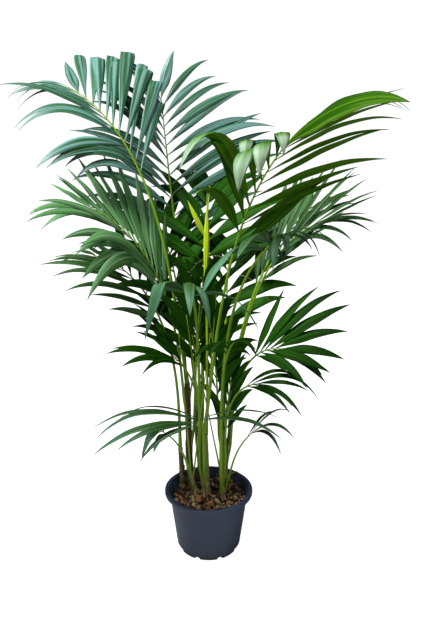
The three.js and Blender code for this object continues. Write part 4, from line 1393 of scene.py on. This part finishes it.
class KENTIA_OT_spear(bpy.types.Operator):
    """Raises the closed new leaf in the middle of the clump, with its side leaflet"""

    bl_idname = "kentia.spear"
    bl_label = "Spear"

    def execute(self, context):
        low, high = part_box("spear")
        middle, radius = stem_at(STEMS[SPEAR.stem], SPEAR.foot)
        reach = radius + SPEAR.radius + GAP
        foot = middle + level_way(radians(SPEAR.side)) * reach
        height = high.z - low.z
        bm = bmesh.new()

        def rod(u, v):
            swell = 1 + 1.0 * smooth((v - 0.5) / 0.3) - 1.85 * smooth((v - 0.82) / 0.18)
            pleat = 1 + 0.16 * sin(u * tau * 6) * smooth((v - 0.5) / 0.2)
            way = level_way(u * tau + 2.2 * v)
            sway = Vector((0.002 * sin(v * 7), 0.002 * cos(v * 5), 0)) * v
            return foot + sway + Vector((0, 0, v * height)) + way * SPEAR.radius * swell * pleat

        bend_tube(bm, 24, 90, rod)
        root = foot + Vector((0, 0, SPEAR.leaf_from - low.z))
        tip = Vector(SPEAR.leaf_tip)

        def leaflet(u, v):
            out = 2 * u - 1
            half = SPEAR.leaf_width / 2 * outline(v)
            along = (tip - root).normalized()
            across = along.cross(Vector((0, -1, 0))).normalized()
            up = across.cross(along)
            bow = up * 0.006 * sin(v * pi)
            return root.lerp(tip, v) + across * out * half + bow - up * abs(out) * half * 0.5

        bend_grid(bm, 6, 16, leaflet)
        skin = skin_of("spear_skin", spear_skin, context.scene.kentia_fronds.spear_backlit_colour)
        finish_piece("closed_spear", bm, [skin], ["spear"])
        return {"FINISHED"}


@dataclass
class Spear:
    """The closed leaf's place beside its stem, and the leaflet that parts from it."""

    stem: str = "centre"
    foot: float = 0.330
    side: float = 57
    radius: float = 3.2 * MM
    leaf_from: float = 0.880
    leaf_tip: tuple = (-0.052, 0.026, 0.985)
    leaf_width: float = 0.013


SPEAR = Spear()


# ------------------------------------------------------------------ shoots and threads

@dataclass
class Sprig:
    """A thin shoot on a stem, or a dry thread on a midrib, and the way it sets out."""

    limb: str
    place: float  # height on a stem, or share of a midrib's length
    heading: float
    slant: float  # degrees from upright
    length: float
    radius: float
    sag: float


SHOOTS = (
    Sprig("front_right", 0.200, -25, 40, 0.066, 1.8 * MM, 0.3),
    Sprig("far_left", 0.185, 215, 25, 0.040, 1.3 * MM, 0.2),
    Sprig("front_left", 0.205, 190, 4, 0.440, 2.6 * MM, 0.02),
    Sprig("centre", 0.300, 215, 8, 0.400, 2.6 * MM, 0.02),
    Sprig("centre", 0.310, 350, 4, 0.430, 2.8 * MM, 0.02),
    Sprig("front_right", 0.215, 165, 11, 0.420, 2.6 * MM, 0.02),
    Sprig("back_left", 0.380, 320, 9, 0.360, 2.6 * MM, 0.02),
    Sprig("front_left", 0.190, 330, 7, 0.460, 2.6 * MM, 0.02),
)
THREADS = (
    Sprig("right_front", 0.43, -15, 60, 0.150, 0.6 * MM, 2.4),
    Sprig("right_front", 0.47, 178, 50, 0.120, 0.6 * MM, 1.8),
    Sprig("inner_left", 0.97, 170, 40, 0.110, 0.6 * MM, 2.0),
    Sprig("inner_mid", 0.90, -40, 50, 0.100, 0.6 * MM, 2.2),
)
SPRIG_SIDES = 8
SPRIG_STEPS = 14


class KENTIA_OT_sprigs(bpy.types.Operator):
    """Adds the small shoots at the foot and the dry threads that opened leaflets leave"""

    bl_idname = "kentia.sprigs"
    bl_label = "Shoots and Threads"

    def execute(self, context):
        settings = context.scene.kentia_fronds
        for name, sprigs, colour in (
                ("shoots", SHOOTS, settings.stalk_colour),
                ("dry_threads", THREADS, settings.thread_colour)):
            bm = bmesh.new()
            for sprig in sprigs:
                grow_sprig(bm, sprig)
            skin = skin_of(f"skin_{name}", stalk_skin, colour)
            finish_piece(name, bm, [skin])
        return {"FINISHED"}


def grow_sprig(bm, sprig):
    """A tube that sets out from the middle of its limb, thins and bends down."""
    if sprig.limb in STEMS:
        foot = stem_at(STEMS[sprig.limb], sprig.place)[0]
    else:
        foot = Midrib(FRONDS[sprig.limb]).at(sprig.place)[0]
    heading = radians(sprig.heading)
    first = slanting_way(heading, radians(sprig.slant))
    left = left_of(heading)

    def aim(v):
        return (first + DOWN * sprig.sag * v).normalized()

    points = [foot]
    for k in range(SPRIG_STEPS):
        points.append(points[-1] + aim((k + 0.5) / SPRIG_STEPS) * sprig.length / SPRIG_STEPS)

    def place(u, v):
        angle = u * tau
        way = left * cos(angle) + aim(v).cross(left) * sin(angle)
        return points[round(v * SPRIG_STEPS)] + way * sprig.radius * (1 - 0.7 * v)

    bend_tube(bm, SPRIG_SIDES, SPRIG_STEPS, place)


# ------------------------------------------------------------------ stage, lights and camera

def floor_skin(sheet, settings):
    """A pale floor that shows the camera, and it alone, a light of its own."""
    floor = sheet.surface(settings.floor_colour, 0.9)
    floor.inputs["Emission Color"].default_value = (1, 1, 1, 1)
    seen = sheet.node("ShaderNodeLightPath").outputs["Is Camera Ray"]
    sheet.put(floor.inputs["Emission Strength"], sheet.times(seen, settings.floor_glow))


EYE = Vector((0.005, -2.300, 1.590))
EYE_DOWN = 21.4  # degrees below the level
LENS = 55.17  # millimetres, on a 36 mm sensor
SIGHT = 200  # how far the camera sees
AIR = (0.97, 0.99, 1.0, 1)

# Each lamp's name, its place, what it points at, its width and its colour.
LIGHTS = (
    ("top", (-1.1, -0.5, 3.2), (0, 0, 0.9), 1.2, (0.93, 0.98, 1.0)),
    ("front", (1.6, -2.6, 2.1), (0, 0, 0.7), 1.1, (1.0, 0.98, 0.95)),
)


class KENTIA_OT_stage(bpy.types.Operator):
    """Lays the floor, hangs the soft lights and sets the camera"""

    bl_idname = "kentia.stage"
    bl_label = "Stage"

    def execute(self, context):
        scene = context.scene
        settings = scene.kentia_stage
        bm = bmesh.new()
        bmesh.ops.create_circle(
            bm, cap_ends=True, segments=96, radius=settings.floor_radius)
        mesh = bpy.data.meshes.new("studio_floor")
        bm.to_mesh(mesh)
        bm.free()
        mesh.materials.append(skin_of("studio_floor", floor_skin, settings))
        ground = bpy.data.objects.new("studio_floor", mesh)
        scene.collection.objects.link(ground)
        light_world(scene, settings)
        for name, spot, aim, size, colour in LIGHTS:
            power = getattr(settings, f"{name}_power")
            hang_light(scene, f"{name}_light", spot, aim, size, power, colour)
        scene.view_settings.view_transform = "Standard"
        set_camera(scene)
        return {"FINISHED"}


def light_world(scene, settings):
    world = bpy.data.worlds.new("studio_air")
    world.use_nodes = True
    back = world.node_tree.nodes["Background"]
    back.inputs["Color"].default_value = AIR
    back.inputs["Strength"].default_value = settings.world_light
    scene.world = world


def hang_light(scene, name, spot, aim, size, power, colour):
    data = bpy.data.lights.new(name, "AREA")
    data.shape = "DISK"
    data.size = size
    data.energy = power
    data.color = colour
    lamp = bpy.data.objects.new(name, data)
    lamp.location = spot
    lamp.rotation_euler = (Vector(aim) - Vector(spot)).to_track_quat("-Z", "Y").to_euler()
    scene.collection.objects.link(lamp)


def set_camera(scene):
    data = bpy.data.cameras.new("camera")
    data.lens = LENS
    data.clip_end = SIGHT
    camera = bpy.data.objects.new("camera", data)
    camera.location = EYE
    camera.rotation_euler = (radians(90 - EYE_DOWN), 0, 0)
    scene.collection.objects.link(camera)
    scene.camera = camera


# ------------------------------------------------------------------ the add-on

class KENTIA_PT_panel(bpy.types.Panel):
    """Sidebar panel with the plant's settings and its steps"""

    bl_idname = "KENTIA_PT_panel"
    bl_label = "Potted Kentia Palm"
    bl_space_type = "VIEW_3D"
    bl_region_type = "UI"
    bl_category = "Kentia"

    def draw(self, context):
        layout = self.layout
        for name, (group, steps) in SECTIONS.items():
            box = layout.box()
            box.label(text=name)
            settings = getattr(context.scene, group)
            for key in settings.__annotations__:
                box.prop(settings, key)
            for step in steps:
                box.operator(step.bl_idname)


SETTINGS = {
    "kentia_pot": PotSettings,
    "kentia_compost": CompostSettings,
    "kentia_stems": StemSettings,
    "kentia_fronds": FrondSettings,
    "kentia_stage": StageSettings,
}

SECTIONS = {
    "Pot": ("kentia_pot", (KENTIA_OT_pot,)),
    "Compost": ("kentia_compost", (KENTIA_OT_compost,)),
    "Stems": ("kentia_stems", (KENTIA_OT_stems,)),
    "Fronds": ("kentia_fronds", (
        KENTIA_OT_stalks, KENTIA_OT_leaflets, KENTIA_OT_spear, KENTIA_OT_sprigs)),
    "Stage": ("kentia_stage", (KENTIA_OT_stage,)),
}

CLASSES = (
    *SETTINGS.values(), *(step for _, steps in SECTIONS.values() for step in steps),
    KENTIA_PT_panel)


def register():
    for item in CLASSES:
        bpy.utils.register_class(item)
    for name, group in SETTINGS.items():
        setattr(bpy.types.Scene, name, bpy.props.PointerProperty(type=group))


def unregister():
    for name in SETTINGS:
        delattr(bpy.types.Scene, name)
    for item in reversed(CLASSES):
        bpy.utils.unregister_class(item)


def main():
    register()
    bpy.ops.kentia.pot()
    bpy.ops.kentia.compost()
    bpy.ops.kentia.stems()
    bpy.ops.kentia.stalks()
    bpy.ops.kentia.leaflets()
    bpy.ops.kentia.spear()
    bpy.ops.kentia.sprigs()
    bpy.ops.kentia.stage()


if __name__ == "__main__":
    main()
